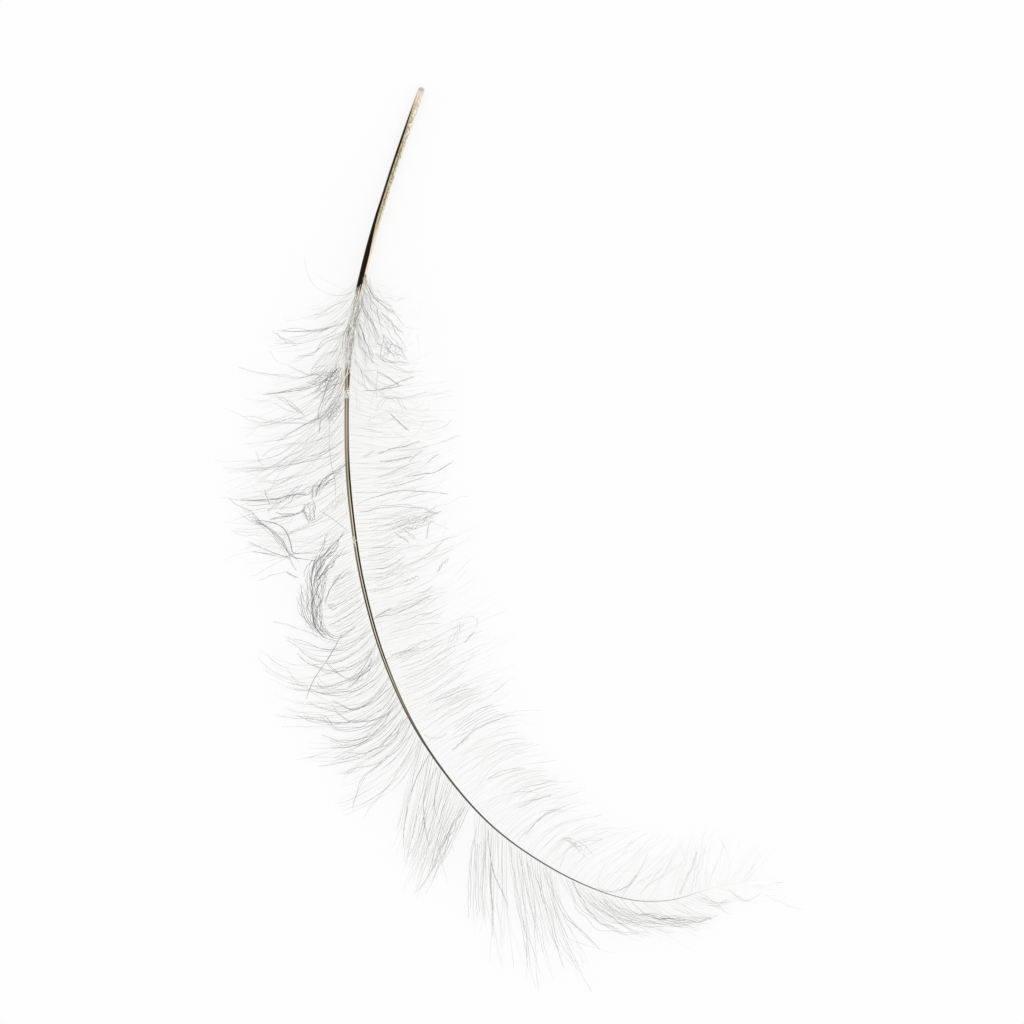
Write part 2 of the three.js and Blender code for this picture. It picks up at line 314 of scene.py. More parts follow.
OUTER_LOCKS = (
    Swathe(OUTER, 0.62, lays(
        (158, 33, 54, 84, 0.8, 1.0, 5),
        (172, 33, 48, 84, 0.8, 1.0, 5),
        (182, 32, 46, 74, 0.8, 0.8, 4),
        (190, 31, 48, 45, 0.8, 0.8, 3),
    ), stray=0.8, thickness=1.1, fringe=0.45, tone=0.48),
    Swathe(OUTER, 0.6, lays(
        (189, 31, 48, 3),
        (200, 32, 50, 2),
        (207, 30, 58, 0),
        (212.5, 25, 66, -3),
        crown=0.6, lock=5, draw=0.15,
    ), stray=0.9, tone=0.36, thickness=1.1, fringe=0.25),
    Wisp(((373, 625), (360, 640), (344, 650), (326, 653), (300, 647), (280, 636)), 4, 0.8, 0.3),
    Wisp(((376, 633), (362, 648), (344, 659), (326, 662), (308, 656), (292, 645)), 3, 0.8, 0.2),
    Wisp(((379, 640), (366, 656), (348, 667), (330, 670), (312, 665), (290, 648)), 3, 0.9, 0.15),
    Sheaf(((372, 640), (364, 660), (354, 674), (344, 682)),
          ((377, 652), (370, 668), (360, 680), (348, 690)), 8, 0.2, 0.25, 1.1),
    Wisp(((374, 628), (350, 641), (330, 641), (300, 630), (266, 620)), 2, 0.5, 0.4),
    Wisp(((382, 652), (370, 672), (352, 684), (332, 690), (318, 684), (316, 676)), 4, 1.0, 0.3),
    Wisp(((386, 664), (372, 682), (352, 694), (328, 694), (300, 690), (282, 687)), 3, 1.4, 0.3),
    Wisp(((391, 674), (376, 695), (356, 709), (340, 704), (328, 697)), 3, 0.6, 0.3),
    Wisp(((398, 688), (384, 706), (364, 716), (350, 720), (338, 713), (328, 701)), 2, 0.8, 0.1),
    Wisp(((394, 682), (372, 702), (345, 710), (322, 707), (302, 697)), 3, 1.2, 0.15),
    Wisp(((400, 694), (384, 714), (360, 727), (336, 728), (324, 718), (312, 714)), 3, 1.0, 0.1),
    Wisp(((402, 698), (382, 715), (350, 720), (320, 720), (294, 714)), 3, 1.0, 0.2),
    Wisp(((405, 703), (388, 722), (366, 736), (344, 741), (320, 735)), 3, 0.8, 0.3),
    Wisp(((391, 710), (380, 725), (366, 738), (350, 745), (330, 748)), 3, 1.2, 0.05),
    Wisp(((410, 712), (394, 732), (374, 748), (350, 757), (330, 759)), 3, 1.2, 0.2),
    Wisp(((414, 720), (396, 742), (376, 758), (356, 770), (340, 782)), 3, 1.0, 0.35),
    Wisp(((418, 728), (396, 752), (376, 768), (362, 782), (355, 800), (351, 818)), 2, 0.4, 0.3),
    Wisp(((422, 736), (402, 766), (384, 792), (370, 808), (362, 822)), 2, 0.5, 0.4),
    Wisp(((430, 752), (418, 775), (409, 800), (404, 830), (402, 850)), 2, 0.8, 0.15),
    Wisp(((438, 764), (426, 795), (425, 815), (428, 838), (430, 850)), 2, 0.5, 0.1),
    Sheaf(((430, 772), (418, 804), (408, 836), (402, 866)),
          ((464, 806), (452, 828), (440, 852), (430, 880)), 11, 0.2, 0.25, 1.0, 0.6, 0.3),
    Wisp(((466, 806), (456, 822), (446, 838), (436, 856)), 2, 0.5, 0.1, 1.1),
)
OUTER_TIP = (
    Swathe(OUTER, 0.6, lays(
        (214.5, 26, 52, -5),
        (221, 35, 52, -8),
        (228, 35, 50, -12),
        (236, 35, 54, -22),
        (243, 32, 52, -34),
        crown=0.5, lock=4, draw=0.15,
    ), stray=0.9, tone=0.38, fringe=0.25),
    Swathe(OUTER, 0.78, lays(
        (243, 27, 40, -50, 0.8, 0.4, 6, 0.25),
        (255, 23, 40, -60, 0.8, 0.4, 6, 0.25),
        (266, 20, 44, -50, 0.8, 0.4, 6, 0.25),
        (278, 15, 50, -40, 0.8, 0.4, 5, 0.5),
        (284, 12, 50, -40, 0.8, 0.4, 5, 0.5),
    ), stray=0.8, thickness=0.8, fringe=0.1, tone=0.5),
    Swathe(OUTER, 1.1, lays(
        (282, 14, 40, -20, 1.0, 0.3),
        (292, 16, 30, -16, 1.0, 0.3),
        (301, 9, 8, -24, 1.0, 0.2),
        lock=5,
    ), stray=1.6, thickness=0.5, tone=0.8),
    Sheaf(((475, 820), (470, 850), (467, 885), (466, 922)),
          ((492, 832), (488, 860), (490, 895), (496, 930)), 7, 0.25, 0.2, 1.0, 0.6, 0.3),
    Wisp(((488, 826), (490, 850), (494, 872), (502, 892), (512, 915)), 2, 0.6, 0.05),
    Sheaf(((510, 845), (514, 875), (520, 905), (526, 940)),
          ((534, 858), (542, 885), (552, 915), (564, 955)), 7, 0.3, 0.25, 1.0, 0.6, 0.3),
    Wisp(((545, 866), (556, 892), (568, 915), (585, 935), (604, 954)), 3, 0.6, 0.25),
    Wisp(((573, 880), (586, 897), (602, 912), (620, 921), (645, 924)), 2, 1.4, 0.3),
    # the dark band along the tip
    Sheaf(((597, 892), (628, 911), (664, 917), (690, 918), (718, 919)),
          ((586, 890), (612, 914), (648, 926), (684, 927), (714, 923)),
          7, 0.4, 0.1, 0.9, 0.6, 0.1),
    Wisp(((640, 914), (660, 919), (680, 920), (700, 921), (718, 916)), 2, 0.8, 0.0, 1.2),
    Wisp(((566, 878), (578, 900), (594, 918), (612, 928), (636, 934), (660, 936)), 2, 1.4, 0.4),
    Wisp(((570, 880), (582, 903), (596, 921), (608, 928), (624, 931)), 2, 0.9, 0.3),
    Wisp(((700, 892), (712, 900), (722, 909), (732, 916)), 2, 1.2, 0.4, 0.7),
    Wisp(((728, 889), (737, 896), (746, 902), (756, 898), (764, 892)), 2, 0.5, 0.35, 0.6),
    Wisp(((730, 890), (742, 900), (748, 901)), 1, 0.3, 0.3, 0.6),
    Wisp(((764, 896), (778, 902), (792, 908), (806, 912)), 2, 0.4, 0.5, 0.6),
    Wisp(((724, 904), (732, 899), (744, 903), (760, 893)), 1, 0.3, 0.5, 0.6),
    Wisp(((706, 906), (716, 908), (722, 904), (728, 901)), 1, 0.3, 0.2, 0.7),
)
OUTER_PARTS = {
    "outer_down": OUTER_DOWN,
    "outer_barbs": OUTER_BARBS,
    "curled_lock": CURLED_LOCK,
    "outer_locks": OUTER_LOCKS,
    "outer_tip": OUTER_TIP,
}

INNER_DOWN = (
    Swathe(INNER, 0.6, lays(
        (58, 20, 12, 26, 1.0),
        (66, 24, 12, 60, 1.0),
        (74, 26, 22, 78, 0.9),
        (84, 28, 46, 66, 0.8),
        (100, 29, 76, 34, 0.8),
        crown=1.5,
    ), stray=2.2, thickness=0.65, fringe=1.0, tone=0.6),
    Swathe(INNER, 0.8, lays(
        (58.5, 13, 2, 6, 1.0, 0.4, 6, 0.5, 6.2),
        (66, 16, 2, 6, 1.0, 0.5, 6, 0.5, 7.0),
        (75, 10, 1, 6, 1.0, 0.5, 6, 0.5, 7.2),
    ), stray=2.0, thickness=1.4, fringe=0.15, tone=1.0, rise=60),
    Wisp(((361, 303), (367, 314), (374, 324), (381, 344)), 2, 0.5, 0.0, 1.2),
    Wisp(((356, 317), (361, 329), (368, 346), (374, 365)), 2, 0.5, 0.0, 1.2),
    Wisp(((355, 322), (358, 336), (364, 352), (368, 366)), 2, 0.8, 0.2),
    Wisp(((376, 353), (388, 360), (398, 361), (409, 363)), 2, 0.4, 0.0, 1.1),
    Wisp(((383, 334), (394, 343), (402, 347), (408, 360)), 2, 0.8, 0.3, 0.9),
    Wisp(((392, 350), (402, 354), (409, 361)), 1, 0.4, 0.1, 1.1),
    Wisp(((377, 343), (380, 345), (384, 346)), 2, 0.4, 0.0, 1.2, 1.4),
    Wisp(((386, 335), (384, 341), (387, 350), (388, 358)), 1, 0.5, 0.2, 1.0, 1.4),
    Wisp(((380, 334), (386, 336), (390, 341)), 1, 0.4, 0.1, 1.0, 1.4),
    # the net of short down
    Sheaf(((384, 336), (382, 346), (380, 356)),
          ((400, 342), (398, 350), (395, 359)), 5, 0.4, 0.1, 1.0, 0.8, 0.2),
    Sheaf(((378, 342), (390, 344), (400, 347)),
          ((380, 352), (392, 354), (404, 358)), 4, 0.4, 0.15, 0.95, 0.8, 0.2),
    Wisp(((377, 372), (388, 377), (400, 386)), 2, 0.3, 0.0, 1.3),
    Wisp(((360, 371), (370, 371), (377, 371), (377, 384), (377, 398)), 1, 0.1, 0.2),
    Wisp(((378, 390), (390, 386), (404, 380), (417, 375)), 2, 0.3, 0.0, 1.1),
    Wisp(((362, 391), (376, 390), (392, 387), (404, 384)), 2, 0.3, 0.2),
    Wisp(((380, 356), (392, 366), (404, 372), (417, 372)), 2, 0.8, 0.5),
    Wisp(((376, 412), (381, 402), (391, 397), (400, 400), (406, 412)), 3, 0.8, 0.4, 0.9),
    Wisp(((356, 360), (362, 376), (368, 392)), 2, 0.4, 0.3),
)
INNER_BARBS = (
    Swathe(INNER, 1.05, lays(
        (98, 29, 78, 28, 1.2, 1.2, 9, 0.5),
        (110, 30, 80, 26, 1.3, 1.2, 9, 0.5),
        (130, 30, 83, 24, 1.3, 1.2, 9, 0.5),
        (150, 31, 85, 20, 1.3, 1.2, 8, 0.3),
        (165, 31, 86, 14, 1.0, 1.2, 8, 0.3),
    ), stray=1.2, thickness=0.85, tone=0.58),
    Swathe(INNER, 1.3, lays(
        (98, 18, 84, 10, 0.7, 1.2, 9),
        (165, 20, 98, -4, 1.0, 1.2, 8),
    ), stray=1.6, thickness=0.7, fringe=0.9, tone=0.65),
    # even combs along the vane, then single strands
    Sheaf(((362, 462), (384, 459), (406, 452), (430, 444)),
          ((364, 492), (388, 486), (410, 478), (436, 468)), 8, 0.2, 0.5, 0.8, 0.6, 0.2),
    Sheaf(((361, 522), (385, 514), (408, 508), (430, 503)),
          ((366, 545), (386, 540), (404, 530), (424, 520)), 9, 0.15, 0.3, 0.9, 0.6, 0.15),
    Sheaf(((364, 549), (383, 546), (400, 537)),
          ((374, 598), (394, 592), (414, 578)), 14, 0.12, 0.25, 0.95, 0.6, 0.15),
    Sheaf(((385, 609), (403, 600), (424, 591), (446, 582)),
          ((386, 640), (404, 634), (424, 630), (442, 631)), 10, 0.15, 0.35, 0.85, 0.6, 0.15),
    Wisp(((368, 421), (380, 414), (387, 412), (393, 415)), 2, 0.4, 0.5),
    Wisp(((390, 413), (398, 421), (409, 431)), 2, 0.15, 0.0, 1.3),
    Wisp(((363, 457), (369, 455), (374, 450)), 2, 0.4, 0.15),
    Wisp(((378, 454), (392, 449), (406, 446), (422, 440)), 2, 0.3, 0.1, 1.2),
    Wisp(((379, 461), (392, 460), (404, 458), (412, 456)), 3, 0.3, 0.2),
    Wisp(((408, 461), (415, 456), (424, 448)), 2, 0.5, 0.1, 1.0),
    Wisp(((427, 462), (433, 457), (439, 453)), 2, 0.3, 0.1, 1.0),
    Wisp(((376, 478), (396, 470), (410, 464), (424, 461)), 2, 0.4, 0.3),
    Wisp(((406, 477), (425, 474), (437, 472), (455, 460)), 2, 0.3, 0.1, 1.2),
    Wisp(((386, 488), (404, 484), (428, 476)), 2, 0.3, 0.2),
    Wisp(((356, 505), (375, 497), (397, 491), (423, 491), (456, 495)), 2, 0.4, 0.1, 1.0),
    Wisp(((358, 512), (368, 511), (381, 507), (399, 505), (414, 506), (428, 509)), 2, 0.4, 0.1,
          1.0),
    Wisp(((398, 501), (412, 497), (428, 492)), 2, 0.7, 0.2, 0.9),
    # the dark lock and its hooks
    Sheaf(((388, 525), (404, 521), (420, 515), (438, 505)),
          ((394, 533), (410, 529), (426, 524), (442, 516)), 8, 0.5, 0.15, 0.9, 0.8, 0.3),
    Wisp(((424, 508), (432, 513), (440, 514)), 2, 0.5, 0.0, 1.1),
    Wisp(((422, 519), (431, 515), (441, 511)), 2, 0.5, 0.0, 1.2),
    Wisp(((394, 532), (402, 538), (410, 544)), 2, 0.3, 0.1, 0.9),
    Wisp(((404, 529), (410, 534), (416, 540)), 2, 0.3, 0.0, 1.1),
    Wisp(((429, 523), (427, 531), (426, 540)), 2, 0.3, 0.0, 1.1),
    Wisp(((400, 568), (420, 560), (436, 548), (446, 538)), 3, 0.8, 0.3),
    Wisp(((436, 572), (441, 567), (449, 556)), 2, 0.3, 0.0, 1.2),
    Wisp(((404, 584), (412, 582), (420, 578)), 2, 0.8, 0.1, 1.0),
    Wisp(((366, 578), (380, 576), (392, 570), (402, 562)), 2, 0.8, 0.2, 0.9),
    Wisp(((420, 593), (426, 590), (432, 586)), 1, 0.3, 0.1, 1.0),
    Wisp(((376, 616), (385, 611), (392, 607)), 2, 0.5, 0.0, 1.2),
    Wisp(((372, 618), (390, 612), (410, 603), (432, 594)), 3, 0.8, 0.2),
    Wisp(((390, 656), (400, 652), (412, 645), (428, 640)), 2, 0.6, 0.15),
    Wisp(((396, 659), (406, 653), (420, 648)), 2, 0.6, 0.1),
    Sheaf(((446, 650), (452, 636), (457, 625), (463, 617)),
          ((452, 650), (458, 636), (463, 624), (466, 617)), 4, 0.2, 0.35, 0.9),
    Wisp(((464, 643), (469, 638), (475, 632)), 2, 0.3, 0.1, 1.0),
    Wisp(((464, 618), (473, 617), (477, 622), (474, 630)), 2, 0.3, 0.5, 0.8),
)
INNER_SWEEP = (
    Swathe(INNER, 0.85, lays(
        (165, 31, 86, 14, 1.0, 1.2, 8),
        (185, 30, 94, -6, 1.2, 1.0, 8),
        (200, 28, 94, -24, 1.0, 1.0, 8),
        (214, 27, 90, -40, 1.0, 0.8, 8),
        (228, 23, 88, -48, 1.0, 0.8, 6),
        (238, 23, 84, -48, 1.0, 0.8, 6),
        draw=0.3,
    ), stray=1.1, thickness=0.8, tone=0.56),
    # even combs along the vane, then single strands
    Sheaf(((391, 658), (410, 654), (428, 646), (446, 633)),
          ((407, 704), (430, 695), (451, 681), (470, 668)), 14, 0.15, 0.2, 0.95, 0.6, 0.15),
    Sheaf(((416, 708), (436, 699), (457, 688), (480, 680)),
          ((430, 728), (450, 716), (468, 705), (486, 696)), 8, 0.15, 0.2, 0.95, 0.6, 0.15),
    Sheaf(((446, 731), (466, 718), (484, 707), (504, 702)),
          ((456, 748), (478, 731), (500, 721), (520, 718)), 7, 0.15, 0.15, 0.95, 0.6, 0.15),
    Sheaf(((460, 756), (480, 743), (502, 734), (526, 732)),
          ((476, 783), (495, 765), (513, 754), (534, 752)), 8, 0.2, 0.45, 0.8, 0.6, 0.2),
    Sheaf(((485, 790), (503, 777), (520, 771), (548, 769)),
          ((512, 812), (530, 798), (550, 789), (574, 788)), 9, 0.2, 0.45, 0.8, 0.6, 0.2),
    Wisp(((424, 734), (433, 737), (442, 736), (449, 731)), 2, 0.6, 0.5, 0.8),
    Wisp(((448, 684), (458, 675), (466, 665), (473, 655)), 1, 0.5, 0.3, 0.8),
    Wisp(((432, 702), (446, 698), (460, 692), (474, 688)), 2, 0.5, 0.2, 0.9),
    Wisp(((452, 750), (460, 743), (470, 736)), 2, 0.5, 0.2),
    Wisp(((488, 780), (500, 774), (512, 771), (528, 769)), 2, 0.5, 0.25),
    Wisp(((518, 808), (526, 805), (536, 800), (552, 796)), 2, 0.5, 0.25),
    Wisp(((526, 836), (534, 824), (544, 816), (556, 812), (566, 812)), 2, 0.5, 0.15),
)
INNER_TIP = (
    Swathe(INNER, 0.75, lays(
        (238, 24, 82, -42, 1.0, 0.6, 6),
        (255, 23, 74, -30, 1.0, 0.5, 6),
        (270, 19, 62, -6, 1.0, 0.4, 6),
        (285, 17, 62, 4, 1.0, 0.3, 5),
        (299, 12, 40, 0, 1.0, 0.2, 5),
    ), stray=1.0, thickness=0.5, tone=0.55),
    # the double loop near the tip
    Wisp(((546, 868), (554, 850), (565, 838), (575, 843), (584, 852), (592, 862)), 2, 1.2, 0.2,
          0.75),
    Wisp(((562, 838), (570, 841), (577, 846), (583, 852)), 2, 0.6, 0.0, 0.9),
    Wisp(((556, 868), (572, 848), (590, 838), (606, 837)), 3, 1.2, 0.3, 0.8),
    Wisp(((566, 874), (580, 858), (584, 845), (580, 838)), 1, 0.6, 0.3, 0.8),
    Wisp(((597, 889), (614, 891), (626, 886), (634, 877), (641, 871)), 2, 0.5, 0.2, 0.8),
    Wisp(((622, 893), (634, 880), (642, 868), (650, 855)), 2, 0.8, 0.4, 0.7),
    Wisp(((640, 896), (650, 885), (662, 877), (680, 868)), 2, 0.8, 0.4, 0.7),
    Wisp(((680, 896), (686, 880), (693, 866), (697, 852)), 2, 0.4, 0.15, 0.7),
    Wisp(((690, 896), (696, 876), (702, 860), (706, 845)), 2, 1.0, 0.4, 0.7),
    Wisp(((600, 892), (598, 880), (600, 874), (606, 864)), 1, 0.3, 0.2, 0.8),
)
INNER_PARTS = {
    "inner_down": INNER_DOWN,
    "inner_barbs": INNER_BARBS,
    "inner_sweep": INNER_SWEEP,
    "inner_tip": INNER_TIP,
}

BASAL_TUFT = (
    Swathe(INNER, 0.2, lays(
        (55.6, 15, 24, 44, 0.7),
        (57.5, 18, 18, 44, 0.9),
        (61.0, 20, 12, 40, 1.0),
        crown=2.0, lock=3,
    ), stray=2.4, thickness=0.5, fringe=0.6, tone=0.8),
    Sheaf(((366, 275), (372, 288), (383, 299), (399, 309)),
          ((362, 284), (368, 303), (377, 322), (389, 342)), 9, 0.4, 0.15, 1.0, 0.8, 0.15),
    Sheaf(((361, 286), (366, 303), (373, 322), (380, 342)),
          ((353, 314), (358, 330), (366, 350), (374, 366)), 8, 0.4, 0.2, 1.0, 0.8, 0.15),
    Sheaf(((382, 301), (393, 308), (406, 318)),
          ((382, 322), (393, 336), (406, 352)), 6, 0.3, 0.1, 1.0, 0.8, 0.2),
    Wisp(((366, 275), (369, 287), (376, 299), (386, 307), (399, 314)), 2, 0.3, 0.0, 1.2),
    Wisp(((366, 275), (367, 286), (371, 299), (377, 310), (379, 322)), 1, 0.3, 0.0, 1.2),
    Wisp(((380, 311), (390, 323), (400, 338), (407, 351)), 1, 0.3, 0.0, 1.2),
    Wisp(((367, 279), (380, 291), (396, 297), (411, 298)), 3, 1.2, 0.6, 0.7),
    Wisp(((363, 284), (364, 278), (367, 274)), 3, 0.2, 0.0, 1.4, 1.2),
)
TUFT_PARTS = {"basal_tuft": BASAL_TUFT}


# ---------------------------------------------------------------- settings


def length_setting(name, description, size):
    """A setting for a length, given in millimetres."""
    return bpy.props.FloatProperty(
        name=name, description=description, default=size * MM, unit="LENGTH"
    )


def colour_setting(name, description, default):
    return bpy.props.FloatVectorProperty(
        name=name, description=description, default=default, subtype="COLOR"
    )


class ShaftSettings(bpy.types.PropertyGroup):
    sides: bpy.props.IntProperty(
        name="Sides", description="Points round the shaft", default=32, min=12
    )
    step: length_setting("Step", "Distance between rings along the shaft", 0.6)
    groove: bpy.props.FloatProperty(
        name="Groove",
        description="Depth of the groove along the rachis, as part of its radius",
        default=0.34,
    )
    pale: colour_setting("Pale horn", "Colour of the clear horn", (0.74, 0.68, 0.55))
    tan: colour_setting(
        "Tan horn", "Colour of the horn's patches and of the rachis's groove", (0.33, 0.265, 0.15)
    )
    middle: colour_setting(
        "Middle horn", "Colour of the rachis between its ridges", (0.43, 0.39, 0.27)
    )
    brown: colour_setting("Brown horn", "Colour of the outer ridge", (0.04, 0.031, 0.016))
    # dark colours the inner ridge and also the quill's band of painted shade
    dark: colour_setting(
        "Dark horn", "Colour of the stripe and the inner ridge", (0.010, 0.0036, 0.0008)
    )


class BarbSettings(bpy.types.PropertyGroup):
    points: bpy.props.IntProperty(
        name="Points", description="Points along each barb", default=26, min=4
    )
    root: length_setting("Root radius", "Radius of a barb where it leaves the shaft", 0.046)
    end: length_setting("Tip radius", "Radius of a barb at its tip", 0.018)
    spacing: length_setting("Barbule spacing", "Distance between barbules along a barb", 0.25)
    barbule: length_setting("Barbule length", "Length of a barbule on a vane's barb", 0.55)
    barbule_radius: length_setting("Barbule radius", "Radius of a barbule at its base", 0.010)
    white: colour_setting("White", "Colour of the barbs", (0.93, 0.915, 0.87))
    # painted shade: the near-black colour that stands for the shade of backlit and clumped barbs
    shadow: colour_setting("Painted shade", "Colour painted on barbs for their shade", (0.105, 0.092, 0.068))


class StageSettings(bpy.types.PropertyGroup):
    floor_light: bpy.props.FloatProperty(
        name="Floor brightness", description="How brightly the pale floor shines", default=0.73
    )
    sky_light: bpy.props.FloatProperty(
        name="Room light", description="Brightness of the room around the feather", default=1.3
    )
    lens: bpy.props.FloatProperty(
        name="Lens", description="Focal length of the camera", default=100.0, unit="CAMERA"
    )


# ---------------------------------------------------------------- node trees


class Wire:
    """A value in a node tree. Python's operators on it add Math nodes."""

    def __init__(self, tree, socket):
        self.tree = tree
        self.socket = socket

    def maths(self, operation, *others):
        return self.tree.node("ShaderNodeMath", {"operation": operation}, [self, *others])

    def __add__(self, other):
        return self.maths("ADD", other)

    def __sub__(self, other):
        return self.maths("SUBTRACT", other)

    def __rsub__(self, other):
        return self.tree.node("ShaderNodeMath", {"operation": "SUBTRACT"}, [other, self])

    def __mul__(self, other):
        return self.maths("MULTIPLY", other)

    def output(self, index):
        """Another output of the node that this value comes from."""
        return Wire(self.tree, self.socket.node.outputs[index])

    def fade(self, low, high):
        """0 below low and 1 above high, with a smooth step between them."""
        settings = {"interpolation_type": "SMOOTHSTEP"}
        return self.tree.node("ShaderNodeMapRange", settings, [self, low, high, 0.0, 1.0])

    def stretch(self, low, high, start, end):
        """Fades in from low to high and out again from start to end."""
        return self.fade(low, high) * (1 - self.fade(start, end))

    def band(self, low, high):
        """1 where this is near 0, fading out as its square goes from low to high."""
        return 1 - (self * self).fade(low, high)


class Tree:
    """A node tree, with the one method that adds its nodes."""

    def __init__(self, tree):
        self.nodes = tree.nodes
        self.links = tree.links

    def node(self, kind, settings=None, values=(), output=0):
        """Adds a node and gives one of its outputs. values are its inputs' constants or
        wires, in order or by name."""
        made = self.nodes.new(kind)
        for key, value in (settings or {}).items():
            setattr(made, key, value)
        items = values.items() if isinstance(values, dict) else enumerate(values)
        for key, value in items:
            if isinstance(value, Wire):
                self.links.new(value.socket, made.inputs[key])
            else:
                made.inputs[key].default_value = value
        return Wire(self, made.outputs[output])


class Shade(Tree):
    """One material's node tree."""

    def __init__(self, name):
        self.material = bpy.data.materials.new(name)
        self.material.use_nodes = True
        super().__init__(self.material.node_tree)
        self.nodes.clear()

    def coat(self, base, *coats):
        """base under coats of colour, each an (amount, colour) pair."""
        for amount, colour in coats:
            values = {0: amount, 6: opaque(base), 7: opaque(colour)}
            base = self.node("ShaderNodeMix", {"data_type": "RGBA"}, values, 2)
        return base

    def surface(self, values):
        """Finishes the material with a Principled shader of these values."""
        shader = self.node("ShaderNodeBsdfPrincipled", {}, values)
        out = self.nodes.new("ShaderNodeOutputMaterial")
        self.links.new(shader.socket, out.inputs["Surface"])
        return self.material


def opaque(colour):
    return colour if isinstance(colour, Wire) else (*colour[:3], 1.0)


# ---------------------------------------------------------------- materials

SPECK = (0.12, 0.075, 0.035)
MOUTH_LINE = (0.36, 0.30, 0.21)
MOUTH = (0.50, 0.46, 0.47)
TAUPE = (0.46, 0.40, 0.335)
# painted highlight: a pale line along the rachis
PAINTED_HIGHLIGHT = (0.80, 0.76, 0.66)
DOWNY = (0.56, 0.53, 0.47)
FAR_RACHIS = (0.055, 0.05, 0.038)
THIN_RACHIS = (0.30, 0.29, 0.26)
TIP_RACHIS = (0.80, 0.79, 0.76)


def horn_material(settings):
    """Horn: a clear, mottled quill with a dark band of painted shade, for the dark that refraction
    shows in the clear tube, which widens to the rachis's ridges on either side of a tan groove."""
    shade = Shade("quill_horn")
    uv = shade.node("ShaderNodeUVMap", {"uv_map": "horn"})
    place = shade.node("ShaderNodeSeparateXYZ", {}, [uv])
    turn = place * math.tau
    along = place.output(1) * SHAFT.length
    across = turn.maths("COSINE")  # 1 on the outer side of the shaft and -1 on the inner side
    above = turn.maths("SINE")

    def noise(width, run, scale, detail, roughness):
        """Noise whose grain is finer for a greater width round the shaft and run along it."""
        parts = [across * width, above * width, along * run]
        vector = shade.node("ShaderNodeCombineXYZ", {}, parts)
        values = {"Vector": vector, "Scale": scale, "Detail": detail, "Roughness": roughness}
        return shade.node("ShaderNodeTexNoise", {}, values)

    mottle = noise(1.3, 0.4, 1.3, 4.0, 0.65)
    streak = noise(4.0, 0.12, 1.6, 3.0, 0.5)
    ragged = (mottle - 0.5) * 0.5 + (streak - 0.5) * 0.5

    # the quill: clear horn, tan patches, a fine brown line, specks and a dark band of painted
    # shade
    clear = 1 - along.fade(6.0, 20.0)
    tan = (across + ragged * 1.6).fade(clear * 0.7 - 1.1, clear * 0.2) * along.fade(2.0, 8.0)
    tan = tan * (1 - along.fade(44.0, 56.0) * 0.6)
    line = (across + ragged * 0.3 + 0.42).band(0.004, 0.03) * along.stretch(14.0, 20.0, 38.0, 46.0)
    speck = noise(1.0, 1.0, 1.7, 2.0, 0.6).fade(0.50, 0.58) * (1 - across.fade(-0.1, 0.4))
    speck = speck * along.stretch(1.0, 5.0, 32.0, 44.0)
    near = ragged * 0.2 + 0.52 - along.fade(6.0, 17.0) * 0.34 - along.fade(37.0, 52.0) * 0.68
    far = along.fade(33.0, 45.0) * 0.4 + 0.88 - along.fade(8.0, 20.0) * 0.06
    # painted shade: a dark band on the quill where refraction in the clear tube looks dark,
    # widening towards the vane
    painted_shade_band = (across - near).fade(-0.05, 0.07) * (far - across).fade(-0.05, 0.07)
    lines = (across + 0.15).band(0.005, 0.05) * 0.7 + (across - 0.62).band(0.005, 0.06) * 0.9
    quill = shade.coat(
        settings.pale,
        (tan * 0.75, settings.tan),
        (line * streak.fade(0.35, 0.55) * 0.8, settings.brown),
        (speck * 0.6, SPECK),
        (painted_shade_band * along.fade(0.5, 9.0), settings.dark),
        (lines * streak.fade(0.25, 0.5) * along.stretch(0.8, 2.0, 4.5, 8.0), MOUTH_LINE),
        ((1 - along.fade(0.6, 2.6)) * 0.75, MOUTH),
    )

    # the rachis: a pale middle between two ridges, of which the inner is the darker, with a
    # painted highlight along its middle
    # painted highlight: a thin pale line near the middle of the rachis
    painted_highlight = (across + 0.08).band(0.0, 0.07) * along.stretch(108.0, 124.0, 170.0, 184.0)
    outer_depth = along.fade(98.0, 118.0) * 0.15 + along.fade(128.0, 150.0) * 0.25 + 0.6
    inner_depth = along.fade(98.0, 114.0) * 0.35 - along.fade(84.0, 90.0) * 0.25 + 0.9
    inner_depth = inner_depth - along.fade(162.0, 184.0) * 0.55
    rachis = shade.coat(
        settings.middle,
        (streak.fade(0.35, 0.7) * 0.5, settings.tan),
        (along.stretch(80.0, 90.0, 104.0, 116.0) * 0.8, TAUPE),
        (painted_highlight * 0.8, PAINTED_HIGHLIGHT),
        ((across - 0.43).band(0.03, 0.13) * outer_depth, settings.brown),
        ((across + 0.62).band(0.04, 0.16) * inner_depth, settings.dark),
        (across.fade(0.72, 0.95) * 0.9, settings.pale),
        ((1 - along.fade(72.0, 78.0)) * 0.6, DOWNY),
        (along.fade(166.0, 192.0) * 0.9, FAR_RACHIS),
        (along.fade(246.0, 266.0) * 0.9, THIN_RACHIS),
        (along.fade(276.0, 292.0) * 0.8, TIP_RACHIS),
    )
    relief = {"Strength": 0.3, "Distance": 0.08 * MM, "Height": streak + mottle}
    return shade.surface(
        {
            "Base Color": shade.coat(quill, (along.fade(59.0, 62.0), rachis)),
            "Roughness": mottle * 0.2 + 0.30,
            "IOR": 1.54,
            "Specular IOR Level": 0.05,
            "Normal": shade.node("ShaderNodeBump", {}, relief),
        }
    )


